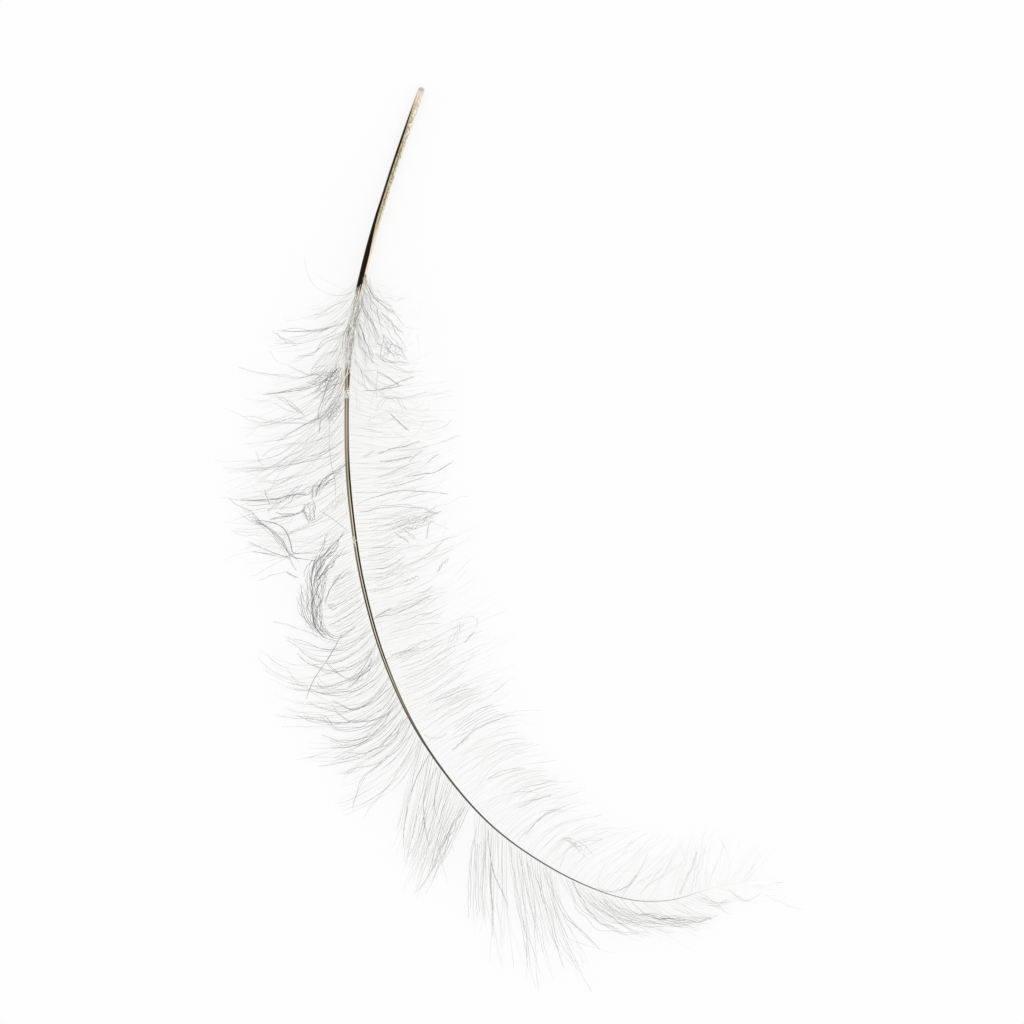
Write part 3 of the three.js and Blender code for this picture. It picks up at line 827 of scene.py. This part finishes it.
def fibre_material(name, settings):
    """White keratin fibres, whose barbs differ in brightness: a low tone mixes in a painted shade
    for the dark of backlit and clumped strands, with some random difference in tone.
    """
    shade = Shade(name)
    tone = shade.node("ShaderNodeAttribute", {"attribute_name": "tone"}, (), 2)
    # painted shade: where the tone is low, the white barb takes the near-black shade colour
    base = shade.coat(settings.shadow, (tone, settings.white))
    return shade.surface({"Base Color": base, "Roughness": 0.62, "IOR": 1.54, "Sheen Weight": 0.1})


# ---------------------------------------------------------------- the shaft's line


def smooth(low, high, value):
    part = np.clip((value - low) / (high - low), 0.0, 1.0)
    return part * part * (3 - 2 * part)


class Centreline:
    """The smooth line through some points, read by distance along it in millimetres."""

    def __init__(self, points, per_span=60):
        knots = np.array(points, float)
        knots = np.vstack([2 * knots[0] - knots[1], knots, 2 * knots[-1] - knots[-2]])
        t = np.linspace(0, 1, per_span, endpoint=False)[:, None]
        spans = []
        for a, b, c, d in zip(knots, knots[1:], knots[2:], knots[3:]):
            curve = 2 * b + (c - a) * t + (2 * a - 5 * b + 4 * c - d) * t**2
            spans.append((curve + (3 * b - 3 * c + d - a) * t**3) / 2)
        self.line = np.vstack([*spans, knots[-2:-1]])
        strides = np.linalg.norm(np.diff(self.line, axis=0), axis=1)
        self.marks = np.concatenate([[0], np.cumsum(strides)])
        self.length = float(self.marks[-1])

    def point(self, along):
        return np.stack([np.interp(along, self.marks, axis) for axis in self.line.T], axis=-1)

    def frame(self, along):
        """Centre, forward, level outward and upward directions at each distance."""
        along = np.clip(along, 0.0, self.length)
        reach = 0.5
        ahead = self.point(np.minimum(along + reach, self.length))
        behind = self.point(np.maximum(along - reach, 0.0))
        forward = unit(ahead - behind)
        outward = unit(np.stack([forward[..., 1], -forward[..., 0], 0 * forward[..., 0]], -1))
        return self.point(along), forward, outward, np.cross(outward, forward)


def peak(distance, width):
    """1 where the distance is 0, falling to nothing over a few widths."""
    return np.exp(-((distance / width) ** 2))


def unit(vectors):
    return vectors / np.linalg.norm(vectors, axis=-1, keepdims=True)


def shaft_radius(along):
    marks, radii = np.array(SHAFT_RADIUS, float).T
    return np.interp(along, marks, radii)


SHAFT = Centreline(SHAFT_LINE)


# ---------------------------------------------------------------- meshes and pieces


def new_object(name, data):
    made = bpy.data.objects.new(name, data)
    bpy.context.scene.collection.objects.link(made)
    return made


def declare(piece, node):
    """Attaches a finished piece to the root body and hides the CAD part named node."""
    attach(piece, "root")
    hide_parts(node)


def make_shaft(settings):
    """The quill, open at its end, and the grooved rachis, in one closed skin."""
    sides = settings.sides
    step = settings.step / MM
    bore = np.linspace(BORE_DEPTH, 0.0, int(BORE_DEPTH / (3 * step)))
    outside = np.linspace(0.0, SHAFT.length, int(SHAFT.length / step))
    along = np.concatenate([bore, outside])
    inside = np.arange(len(along)) < len(bore)

    angle = np.arange(sides) * math.tau / sides
    centre, forward, outward, up = (v[:, None, :] for v in SHAFT.frame(along))
    radius = np.where(inside, BORE_RADIUS, shaft_radius(along))[:, None]

    # the rachis's groove and its two shoulders, and the flakes on the quill's inner edge
    grooved = (smooth(*GROOVE_IN, along) * ~inside)[:, None]
    from_top = np.abs(angle - math.pi / 2)
    shoulder = SHOULDER_RISE * peak(from_top - SHOULDER_AT, SHOULDER_WIDTH)
    shape = 1 + grooved * (shoulder - settings.groove * peak(from_top, GROOVE_WIDTH))
    flaky = smooth(*FLAKES_IN, along) * (1 - smooth(*FLAKES_OUT, along)) * ~inside
    flakes = np.sin(1.9 * along) + np.sin(3.3 * along + 1.3) + np.sin(5.9 * along)
    shape = shape + FLAKE_RISE * (flaky * flakes)[:, None] * (-np.cos(angle)).clip(0, 1)
    lip = np.where(np.arange(len(along)) == len(bore), LIP_SIZE, 1.0)[:, None]
    reach = (radius * shape * lip)[..., None]
    cut = MOUTH_CUT * (1 - smooth(*MOUTH_END, along))[:, None] * (1 + np.sin(angle)) / 2
    points = (
        centre
        + outward * reach * np.cos(angle)[None, :, None]
        + up * reach * np.sin(angle)[None, :, None]
        + forward * cut[..., None]
    )

    rings = len(along)
    ends = [SHAFT.point(BORE_DEPTH), SHAFT.point(SHAFT.length)]
    vertices = np.vstack([points.reshape(-1, 3), ends]) * MM
    index = np.arange(rings * sides).reshape(rings, sides)
    after = np.roll(index, -1, axis=1)
    quads = np.stack([index[:-1], index[1:], after[1:], after[:-1]], -1).reshape(-1, 4)
    first, last = rings * sides, rings * sides + 1
    caps = [(first, a, b) for a, b in zip(index[0], after[0])]
    caps += [(last, b, a) for a, b in zip(index[-1], after[-1])]
    mesh = bpy.data.meshes.new("shaft_skin")
    mesh.from_pydata(vertices.tolist(), [], quads.tolist() + caps)

    # u runs once round the shaft and v from the quill's end to the tip
    part = along / SHAFT.length
    around = list(zip(np.arange(sides) / sides, np.arange(1, sides + 1) / sides))
    layer = mesh.uv_layers.new(name="horn")
    spots = []
    for low, high in zip(part, part[1:]):
        for u, v in around:
            spots += [u, low, u, high, v, high, v, low]
    for u, v in around:
        spots += [(u + v) / 2, part[0], u, part[0], v, part[0]]
    for u, v in around:
        spots += [(u + v) / 2, part[-1], v, part[-1], u, part[-1]]
    layer.data.foreach_set("uv", np.array(spots, np.float32))
    mesh.shade_smooth()
    mesh.materials.append(horn_material(settings))
    piece = new_object("quill_shaft", mesh)
    declare(piece, "shaft")


# ---------------------------------------------------------------- barbs


def steps(count):
    """Even steps from 0 to 1, in one row."""
    return np.linspace(0, 1, count)[None, :]


def read_lays(swathe, along):
    """Each field of a swathe's lays, interpolated at the given distances."""
    table = np.array(swathe.lays, float)
    fields = [np.interp(along, table[:, 0], column) for column in table.T[1:]]
    return dict(zip(Lay._fields[1:], fields))


def barb_lines(swathe, along, change, count):
    """The centrelines of barbs at the given distances, as (barbs, count, 3) in millimetres.

    change holds each barb's rise, what is added to its lay's leave, turn and tip, the factor
    on its length, and swing, the degrees that its heading is off at each point."""
    lay = read_lays(swathe, along)
    centre, forward, outward, up = SHAFT.frame(along)
    outward = outward * swathe.side
    seat = shaft_radius(along)[:, None] * ROOT_SEAT
    rise = np.radians(change["rise"])[:, None]
    root = centre + outward * seat * np.cos(rise) + up * seat * np.sin(rise)

    t = steps(count)
    leave = lay["leave"] + change["leave"]
    turn = lay["turn"] + change["turn"]
    length = lay["length"] * change["length"]
    heading = np.radians(leave[:, None] + turn[:, None] * t ** lay["late"][:, None])
    heading = heading + np.radians(change["swing"])
    middle = (heading[:, 1:] + heading[:, :-1]) / 2
    stride = (length / (count - 1))[:, None]
    zero = np.zeros((len(along), 1))
    ahead = np.hstack([zero, np.cumsum(np.cos(middle) * stride, axis=1)])
    aside = np.hstack([zero, np.cumsum(np.sin(middle) * stride, axis=1)])
    level = unit(forward * [1, 1, 0])
    line = root[:, None, :] + level[:, None, :] * ahead[..., None]
    line = line + outward[:, None, :] * aside[..., None]

    tip = (lay["tip"] + change["tip"])[:, None]
    crown = lay["crown"][:, None] * np.sin(math.pi * t)
    line[..., 2] = tip + (root[:, None, 2] - tip) * (1 - t) ** 1.5 + crown
    return line, lay


def sway(rng, number, t, size, pace, most=1.4):
    """A random wave of each line, with from 0.6 to most times pace full turns."""
    turns = pace * rng.uniform(0.6, most, (number, 1))
    phase = rng.uniform(0, math.tau, (number, 1))
    return rng.normal(0, size, (number, 1)) * np.sin(math.tau * turns * t + phase)


def kinks(rng, number, t, share, size):
    """Sharp bends, in degrees, in the outer half of some of the barbs."""
    where = rng.uniform(0.4, 0.95, (number, 1))
    bend = rng.normal(0, size, (number, 1)) * (rng.random((number, 1)) < share)
    return bend * smooth(where - 0.03, where + 0.03, t)


def dashes(rng, number, t):
    """Short stretches of each barb, from 0 to about 0.7, where its painted shade changes."""
    total = 0 * t
    for _ in range(2):
        middle = rng.uniform(0.05, 1.0, (number, 1))
        width = rng.uniform(0.04, 0.16, (number, 1))
        total = total + rng.uniform(0, 0.7, (number, 1)) * peak(t - middle, width)
    return total


def frizz(rng, lines, size):
    """Small random steps off the line, which grow towards the tip."""
    t = np.linspace(0.15, 1, lines.shape[1])[None, :, None]
    lines = lines + rng.normal(0, size, lines.shape) * t * [1, 1, 0.6]
    lines[..., 2] = np.maximum(lines[..., 2], LEAST_HEIGHT)
    return lines


def finish(rng, lines, settings, taper, thickness, fringe, tone):
    """The lines in metres, with the radius, fringe and tone of each point."""
    number, count = lines.shape[:2]
    t = steps(count)
    root, end = settings.root, settings.end
    radius = (end + (root - end) * taper) * thickness * rng.uniform(0.7, 1.3, (number, 1))
    fringe = fringe * smooth(-0.02, 0.08, t) * (1 - 0.5 * t) * np.ones((number, 1))
    tones = (tone + rng.normal(0, 0.10, (number, 1)) + 0 * t).clip(0, 1)
    return lines * MM, radius, fringe, tones


def groom(swathe, settings, rng):
    """A swathe's barbs: untidy, kinked, and drawn together in locks."""
    first, last = swathe.lays[0].at, swathe.lays[-1].at
    number = max(2, int((last - first) / swathe.spacing))
    along = np.linspace(first, last, number) + rng.normal(0, 0.2, number) * swathe.spacing
    along = np.clip(along, first, last)
    count = settings.points
    t = steps(count)
    stray = swathe.stray

    # locks of uneven width, each with a lean of its own
    width = read_lays(swathe, along)["lock"].mean()
    locks = max(1, round((last - first) / width))
    edges = np.linspace(first, last, locks + 1)
    edges[1:-1] += rng.uniform(-0.35, 0.35, locks - 1) * width
    lock = np.clip(np.searchsorted(edges, along, side="right") - 1, 0, locks - 1)
    middles = (edges[:-1] + edges[1:]) / 2
    lean = {
        "leave": rng.normal(0, LEAVE_SPREAD * stray, locks),
        "turn": rng.normal(0, LOCK_TURN * stray, locks),
        "length": rng.normal(1, 0.04, locks),
        "tip": rng.uniform(0, 0.8, locks),
        "swing": sway(rng, locks, t, LOCK_SWING * stray, 1.0) * t,
        "rise": np.full(locks, swathe.rise),
    }
    heart, _ = barb_lines(swathe, middles, lean, count)

    loose = rng.random(number) < LOOSE_SHARE * stray
    wide = np.where(loose, LOOSE_SPREAD, 1.0)
    change = {
        "leave": lean["leave"][lock] + rng.normal(0, LEAVE_SPREAD * stray, number) * wide,
        "turn": lean["turn"][lock] + rng.normal(0, BARB_TURN * stray, number) * wide,
        "length": lean["length"][lock] * rng.normal(0.95, 0.12, number).clip(0.45, 1.12),
        "tip": lean["tip"][lock] + rng.uniform(0, 1.0, number),
        "swing": lean["swing"][lock]
        + sway(rng, number, t, BARB_SWING * stray, 1.3) * t
        + sway(rng, number, t, BARB_SWING * stray, 3.5) * t
        + kinks(rng, number, t, KINK_SHARE * stray, KINK_BEND),
        "rise": swathe.rise + rng.uniform(-1, 1, number) * min(swathe.rise, 45),
    }
    lines, lay = barb_lines(swathe, along, change, count)

    # a lock's barbs meet part of the way out and spread again beyond
    meet = rng.uniform(0.6, 1.1, locks)[lock][:, None]
    pull = (lay["draw"] * rng.uniform(0.2, 1.2, number).clip(0, 1) * ~loose)[:, None]
    pull = pull * smooth(0.25, meet, t) * (1 - 0.6 * smooth(meet, meet + 0.4, t))
    lines = lines + (heart[lock] - lines) * pull[..., None]
    lines = frizz(rng, lines, 0.05 * stray**0.5)
    dash = dashes(rng, number, t)
    # painted shade: each dash darkens the barb's tone
    tone = swathe.tone + DASH_TONE - dash
    thickness = swathe.thickness * (1 + DASH_SWELL * dash)
    return finish(rng, lines, settings, 1 - 0.7 * t**1.3, thickness, swathe.fringe, tone)


def vane_height(points):
    """The height of the vane's surface at points in plan, which falls from the shaft."""
    line = SHAFT.line[::12]
    gap = np.linalg.norm(points[:, None, :] - line[None, :, :2], axis=2)
    fall = (1 - gap.min(axis=1) / VANE_WIDTH).clip(0, 1) ** 1.4
    return VANE_MARGIN + (line[gap.argmin(axis=1), 2] - 0.3) * fall


def plan_path(path):
    """The smooth line through a path's points on the plan grid, at height 0."""
    plan = (np.array(path, float) - GRID_ORIGIN) * [GRID_SQUARE, -GRID_SQUARE]
    return Centreline(np.hstack([plan, np.zeros((len(plan), 1))]), per_span=12)


def waves(rng, number, t, *kinds):
    """Random sideways waves, each kind a (size, waves per length) pair."""
    return sum(sway(rng, number, t, size, pace, most=1.5) for size, pace in kinds)


def settle(lines, strand, settings, rng):
    """Lays a wisp's or a sheaf's strands on the vane and finishes them."""
    number, count = lines.shape[:2]
    height = vane_height(lines[..., :2].reshape(-1, 2)).reshape(number, count)
    lines[..., 2] = height + strand.lift * (0.4 + rng.uniform(0.2, 1.0, (number, 1)))
    lines = frizz(rng, lines, 0.04)
    t = steps(count)
    swell = 0.1 + 0.9 * np.sin(math.pi * (0.06 + 0.88 * t)) ** 0.7
    # painted shade: the tone sets how dark the strand is painted, and its dashes lighten it
    tone = strand.tone - 0.1 + 0.35 * dashes(rng, number, t)
    return finish(rng, lines, settings, swell, strand.thickness, strand.fringe, tone)


def lay_wisp(wisp, settings, rng):
    """A wisp's strands, which start together and wander apart along its path."""
    count, number = settings.points, wisp.count
    path = plan_path(wisp.path)
    start = rng.uniform(0, 0.04, (number, 1))
    stop = 1 - rng.uniform(0, 0.12, (number, 1)) * (number > 1)
    t = steps(count)
    marks = (start + (stop - start) * t) * path.length
    centre, _, across, _ = path.frame(marks.ravel())
    side = rng.normal(0, 0.5, (number, 1)) * (0.4 + 0.6 * np.sin(math.pi * t) ** 0.5)
    side = side + waves(rng, number, t, (0.4, 0.9), (0.2, 2.6))
    lines = (centre + across * (side * wisp.spread).reshape(-1, 1)).reshape(number, count, 3)
    return settle(lines, wisp, settings, rng)


def lay_sheaf(sheaf, settings, rng):
    """A sheaf's strands, side by side from one edge to the other."""
    count, number = settings.points, sheaf.count
    left, right = plan_path(sheaf.left), plan_path(sheaf.right)
    part = np.linspace(0, 1, number) + rng.normal(0, 0.35 / number, number)
    start = rng.uniform(0, 0.22, (number, 1))
    stop = 1 - rng.uniform(0, 0.22, (number, 1))
    t = steps(count)
    marks = (start + (stop - start) * t).ravel()
    first, _, across, _ = left.frame(marks * left.length)
    last = right.point(marks * right.length)
    part = np.repeat(part, count)[:, None]
    side = waves(rng, number, t, (0.7, 1.2), (0.6, 3.0)) * sheaf.stray
    lines = first + (last - first) * part + across * side.reshape(-1, 1)
    return settle(lines.reshape(number, count, 3), sheaf, settings, rng)


LAYING = {Swathe: groom, Wisp: lay_wisp, Sheaf: lay_sheaf}


def line_mesh(name, groups):
    """Open polylines with the values that the grooming tree reads."""
    points, edges, radius, fringe, tone = [], [], [], [], []
    offset = 0
    for lines, r, f, c in groups:
        number, count = lines.shape[:2]
        index = np.arange(number * count).reshape(number, count) + offset
        edges.append(np.stack([index[:, :-1], index[:, 1:]], -1).reshape(-1, 2))
        points.append(lines.reshape(-1, 3))
        for store, values in ((radius, r), (fringe, f), (tone, c)):
            store.append(np.asarray(values, np.float32).ravel())
        offset += number * count
    mesh = bpy.data.meshes.new(name)
    mesh.from_pydata(np.vstack(points).tolist(), np.vstack(edges).tolist(), [])
    for key, store in (("thickness", radius), ("fringe", fringe), ("tone", tone)):
        layer = mesh.attributes.new(key, "FLOAT", "POINT")
        layer.data.foreach_set("value", np.concatenate(store))
    return mesh


class Groomer(Tree):
    """A Geometry Nodes tree with inputs that have names."""

    def __init__(self, name, inputs):
        self.group = bpy.data.node_groups.new(name, "GeometryNodeTree")
        super().__init__(self.group)
        face = self.group.interface
        self.keys = {}
        for label, kind in inputs.items():
            socket = face.new_socket(label, in_out="INPUT", socket_type="NodeSocket" + kind)
            self.keys[label] = socket.identifier
        face.new_socket("Geometry", in_out="OUTPUT", socket_type="NodeSocketGeometry")
        self.source = self.nodes.new("NodeGroupInput")
        self.out = self.nodes.new("NodeGroupOutput")

    def given(self, label):
        return Wire(self, self.source.outputs[label])

    def vector(self, operation, values):
        return self.node("ShaderNodeVectorMath", {"operation": operation}, values)

    def named(self, name):
        return self.node("GeometryNodeInputNamedAttribute", {"data_type": "FLOAT"}, {"Name": name})

    def random(self, kind, low, high):
        """A random value for each point; kind is FLOAT or FLOAT_VECTOR."""
        first, output = (0, 0) if kind == "FLOAT_VECTOR" else (2, 1)
        values = {first: low, first + 1: high, "Seed": self.given("Seed")}
        return self.node("FunctionNodeRandomValue", {"data_type": kind}, values, output)


def grooming_tree():
    """Sweeps each line into a barb and sets barbules along both of its sides."""
    inputs = {
        "Lines": "Geometry",
        "Barbule spacing": "Float",
        "Barbule length": "Float",
        "Barbule radius": "Float",
        "Barbule angle": "Float",
        "Barbule tone": "Float",
        "Seed": "Int",
        "Material": "Material",
    }
    tree = Groomer("barb_grooming", inputs)
    node, given = tree.node, tree.given
    curve = node("GeometryNodeMeshToCurve", {}, [given("Lines")])
    ring = node("GeometryNodeCurvePrimitiveCircle", {}, {"Resolution": 3, "Radius": 1.0})
    sweep = {"Curve": curve, "Profile Curve": ring, "Scale": tree.named("thickness")}
    barbs = node("GeometryNodeCurveToMesh", {}, {**sweep, "Fill Caps": True})

    # a barbule stands at every spot, on the barb's left and right in turn
    spaced = {"Curve": curve, "Length": given("Barbule spacing")}
    spots = node("GeometryNodeResampleCurve", {"mode": "LENGTH"}, spaced)
    tangent = node("GeometryNodeInputTangent")
    hand = node("GeometryNodeInputIndex").maths("MODULO", 2.0) * 2.0 - 1.0
    across = tree.vector("CROSS_PRODUCT", [tangent, (0.0, 0.0, 1.0)])
    across = tree.vector("NORMALIZE", [across])
    angle = given("Barbule angle")
    lengthwise = tree.vector("SCALE", {0: tangent, "Scale": angle.maths("COSINE")})
    sideways = tree.vector("SCALE", {0: across, "Scale": angle.maths("SINE") * hand})
    ruffle = tree.random("FLOAT_VECTOR", (-0.35, -0.35, -0.3), (0.35, 0.35, 0.35))
    aim = tree.vector("ADD", [tree.vector("ADD", [lengthwise, sideways]), ruffle])
    rotation = node("FunctionNodeAlignRotationToVector", {"axis": "Z"}, {"Vector": aim})
    length = given("Barbule length") * tree.named("fringe") * tree.random("FLOAT", 0.45, 1.1)
    radius = given("Barbule radius")
    size = node("ShaderNodeCombineXYZ", {}, [radius, radius, length])
    cone = {"Vertices": 3, "Radius Top": 0.0, "Radius Bottom": 1.0, "Depth": 1.0}
    spike = node("GeometryNodeMeshCone", {"fill_type": "NONE"}, cone)
    fringed = [tree.named("fringe"), 0.05]
    placing = {
        "Points": spots,
        "Selection": node("FunctionNodeCompare", {"operation": "GREATER_THAN"}, fringed),
        "Instance": spike,
        "Rotation": rotation,
        "Scale": size,
    }
    placed = node("GeometryNodeInstanceOnPoints", {}, placing)
    real = node("GeometryNodeRealizeInstances", {}, [placed])
    toned = {"Geometry": real, "Name": "tone", "Value": given("Barbule tone")}
    store = {"data_type": "FLOAT", "domain": "POINT"}
    barbules = node("GeometryNodeStoreNamedAttribute", store, toned)

    join = node("GeometryNodeJoinGeometry", {}, [barbules])
    tree.links.new(barbs.socket, join.socket.node.inputs[0])
    smoothed = node("GeometryNodeSetShadeSmooth", {}, {"Geometry": join, "Shade Smooth": True})
    dressed = {"Geometry": smoothed, "Material": given("Material")}
    done = node("GeometryNodeSetMaterial", {}, dressed)
    tree.links.new(done.socket, tree.out.inputs[0])
    return tree


def fibre_piece(name, groups, tree, settings, material, seed):
    """Runs the grooming tree over the lines and keeps its result as a plain mesh."""
    piece = new_object(name, line_mesh(name, groups))
    modifier = piece.modifiers.new("grooming", "NODES")
    modifier.node_group = tree.group
    values = {
        "Barbule spacing": settings.spacing,
        "Barbule length": settings.barbule,
        "Barbule radius": settings.barbule_radius,
        "Barbule angle": math.radians(BARBULE_ANGLE),
        "Barbule tone": 1.0,
        "Seed": seed,
        "Material": material,
    }
    for label, value in values.items():
        modifier[tree.keys[label]] = value
    seen = piece.evaluated_get(bpy.context.evaluated_depsgraph_get())
    mesh = bpy.data.meshes.new_from_object(seen)
    piece.modifiers.clear()
    piece.data = mesh
    mesh.name = name
    return piece


def make_fibres(table, node, settings, look, seed):
    """One piece, of the material called look, for each named group of swathes and strands."""
    tree = grooming_tree()
    material = fibre_material(look, settings)
    for offset, (name, parts) in enumerate(table.items()):
        rng = np.random.default_rng(seed + offset)
        groups = [LAYING[type(part)](part, settings, rng) for part in parts]
        piece = fibre_piece(name, groups, tree, settings, material, seed + offset)
        declare(piece, node)


# ---------------------------------------------------------------- the stage

FLOOR_SIDE = 4000.0
SENSOR_WIDTH = 36.0  # of the camera, with its lens in the same millimetres
VIEW_LEVEL = 4.0  # the height at which the camera sees exactly the plan grid


def make_stage(settings):
    """A pale, evenly lit floor, a soft room and a camera that looks straight down."""
    half = FLOOR_SIDE / 2 * MM
    corners = [(-half, -half, 0), (half, -half, 0), (half, half, 0), (-half, half, 0)]
    mesh = bpy.data.meshes.new("floor")
    mesh.from_pydata(corners, [], [(0, 1, 2, 3)])
    paper = {
        "Base Color": (0.2, 0.2, 0.2, 1.0),
        "Roughness": 0.9,
        "Specular IOR Level": 0.0,
        "Emission Color": (1.0, 1.0, 1.0, 1.0),
        "Emission Strength": settings.floor_light,
    }
    mesh.materials.append(Shade("pale_floor").surface(paper))
    new_object("floor", mesh)

    scene = bpy.context.scene
    scene.view_settings.view_transform = "Standard"
    scene.world = bpy.data.worlds.new("room")
    scene.world.use_nodes = True
    scene.world.node_tree.nodes.clear()
    room = Tree(scene.world.node_tree)
    sky = {"Color": (1.0, 1.0, 1.0, 1.0), "Strength": settings.sky_light}
    light = room.node("ShaderNodeBackground", {}, sky)
    out = room.nodes.new("ShaderNodeOutputWorld")
    room.links.new(light.socket, out.inputs[0])

    camera = bpy.data.cameras.new("camera")
    camera.lens = settings.lens
    camera.sensor_width = SENSOR_WIDTH
    x = (GRID_SIDE / 2 - GRID_ORIGIN[0]) * GRID_SQUARE * MM
    y = (GRID_ORIGIN[1] - GRID_SIDE / 2) * GRID_SQUARE * MM
    height = GRID_SIDE * GRID_SQUARE * MM * camera.lens / camera.sensor_width
    seat = new_object("camera", camera)
    seat.location = (x, y, height + VIEW_LEVEL * MM)
    scene.camera = seat


# ---------------------------------------------------------------- operators and panel


class FEATHER_OT_stage(bpy.types.Operator):
    """Make the floor, the light and the camera"""

    bl_idname = "feather.stage"
    bl_label = "Make Stage"

    def execute(self, context):
        make_stage(context.scene.feather_stage)
        return {"FINISHED"}


class FEATHER_OT_shaft(bpy.types.Operator):
    """Make the quill and the rachis"""

    bl_idname = "feather.shaft"
    bl_label = "Make Shaft"

    def execute(self, context):
        make_shaft(context.scene.feather_shaft)
        return {"FINISHED"}


class FEATHER_OT_outer_vane(bpy.types.Operator):
    """Make the barbs on the outside of the feather's curve"""

    bl_idname = "feather.outer_vane"
    bl_label = "Make Outer Vane"

    def execute(self, context):
        settings = context.scene.feather_barbs
        make_fibres(OUTER_PARTS, "outer_vane", settings, "outer_barbs", 100)
        return {"FINISHED"}


class FEATHER_OT_inner_vane(bpy.types.Operator):
    """Make the barbs on the inside of the feather's curve"""

    bl_idname = "feather.inner_vane"
    bl_label = "Make Inner Vane"

    def execute(self, context):
        settings = context.scene.feather_barbs
        make_fibres(INNER_PARTS, "inner_vane", settings, "inner_barbs", 200)
        return {"FINISHED"}


class FEATHER_OT_tuft(bpy.types.Operator):
    """Make the tuft of down beside the quill's upper end"""

    bl_idname = "feather.tuft"
    bl_label = "Make Basal Tuft"

    def execute(self, context):
        settings = context.scene.feather_barbs
        make_fibres(TUFT_PARTS, "afterfeather", settings, "tuft_down", 300)
        return {"FINISHED"}


class FEATHER_PT_panel(bpy.types.Panel):
    """The feather's settings and what makes its pieces"""

    bl_idname = "FEATHER_PT_panel"
    bl_label = "Feather"
    bl_space_type = "VIEW_3D"
    bl_region_type = "UI"
    bl_category = "Feather"

    def draw(self, context):
        for name in ("feather_shaft", "feather_barbs", "feather_stage"):
            settings = getattr(context.scene, name)
            box = self.layout.box()
            for key in settings.bl_rna.properties.keys():
                if key not in ("rna_type", "name"):
                    box.prop(settings, key)
        for operator in OPERATORS:
            self.layout.operator(operator.bl_idname)


SETTINGS = {
    "feather_shaft": ShaftSettings,
    "feather_barbs": BarbSettings,
    "feather_stage": StageSettings,
}
OPERATORS = (
    FEATHER_OT_stage,
    FEATHER_OT_shaft,
    FEATHER_OT_outer_vane,
    FEATHER_OT_inner_vane,
    FEATHER_OT_tuft,
)


def register():
    for name, group in SETTINGS.items():
        bpy.utils.register_class(group)
        setattr(bpy.types.Scene, name, bpy.props.PointerProperty(type=group))
    for operator in OPERATORS:
        bpy.utils.register_class(operator)
    bpy.utils.register_class(FEATHER_PT_panel)


def unregister():
    bpy.utils.unregister_class(FEATHER_PT_panel)
    for operator in reversed(OPERATORS):
        bpy.utils.unregister_class(operator)
    for name, group in SETTINGS.items():
        delattr(bpy.types.Scene, name)
        bpy.utils.unregister_class(group)


def main():
    register()
    bpy.ops.feather.stage()
    bpy.ops.feather.shaft()
    bpy.ops.feather.outer_vane()
    bpy.ops.feather.inner_vane()
    bpy.ops.feather.tuft()


if __name__ == "__main__":
    main()
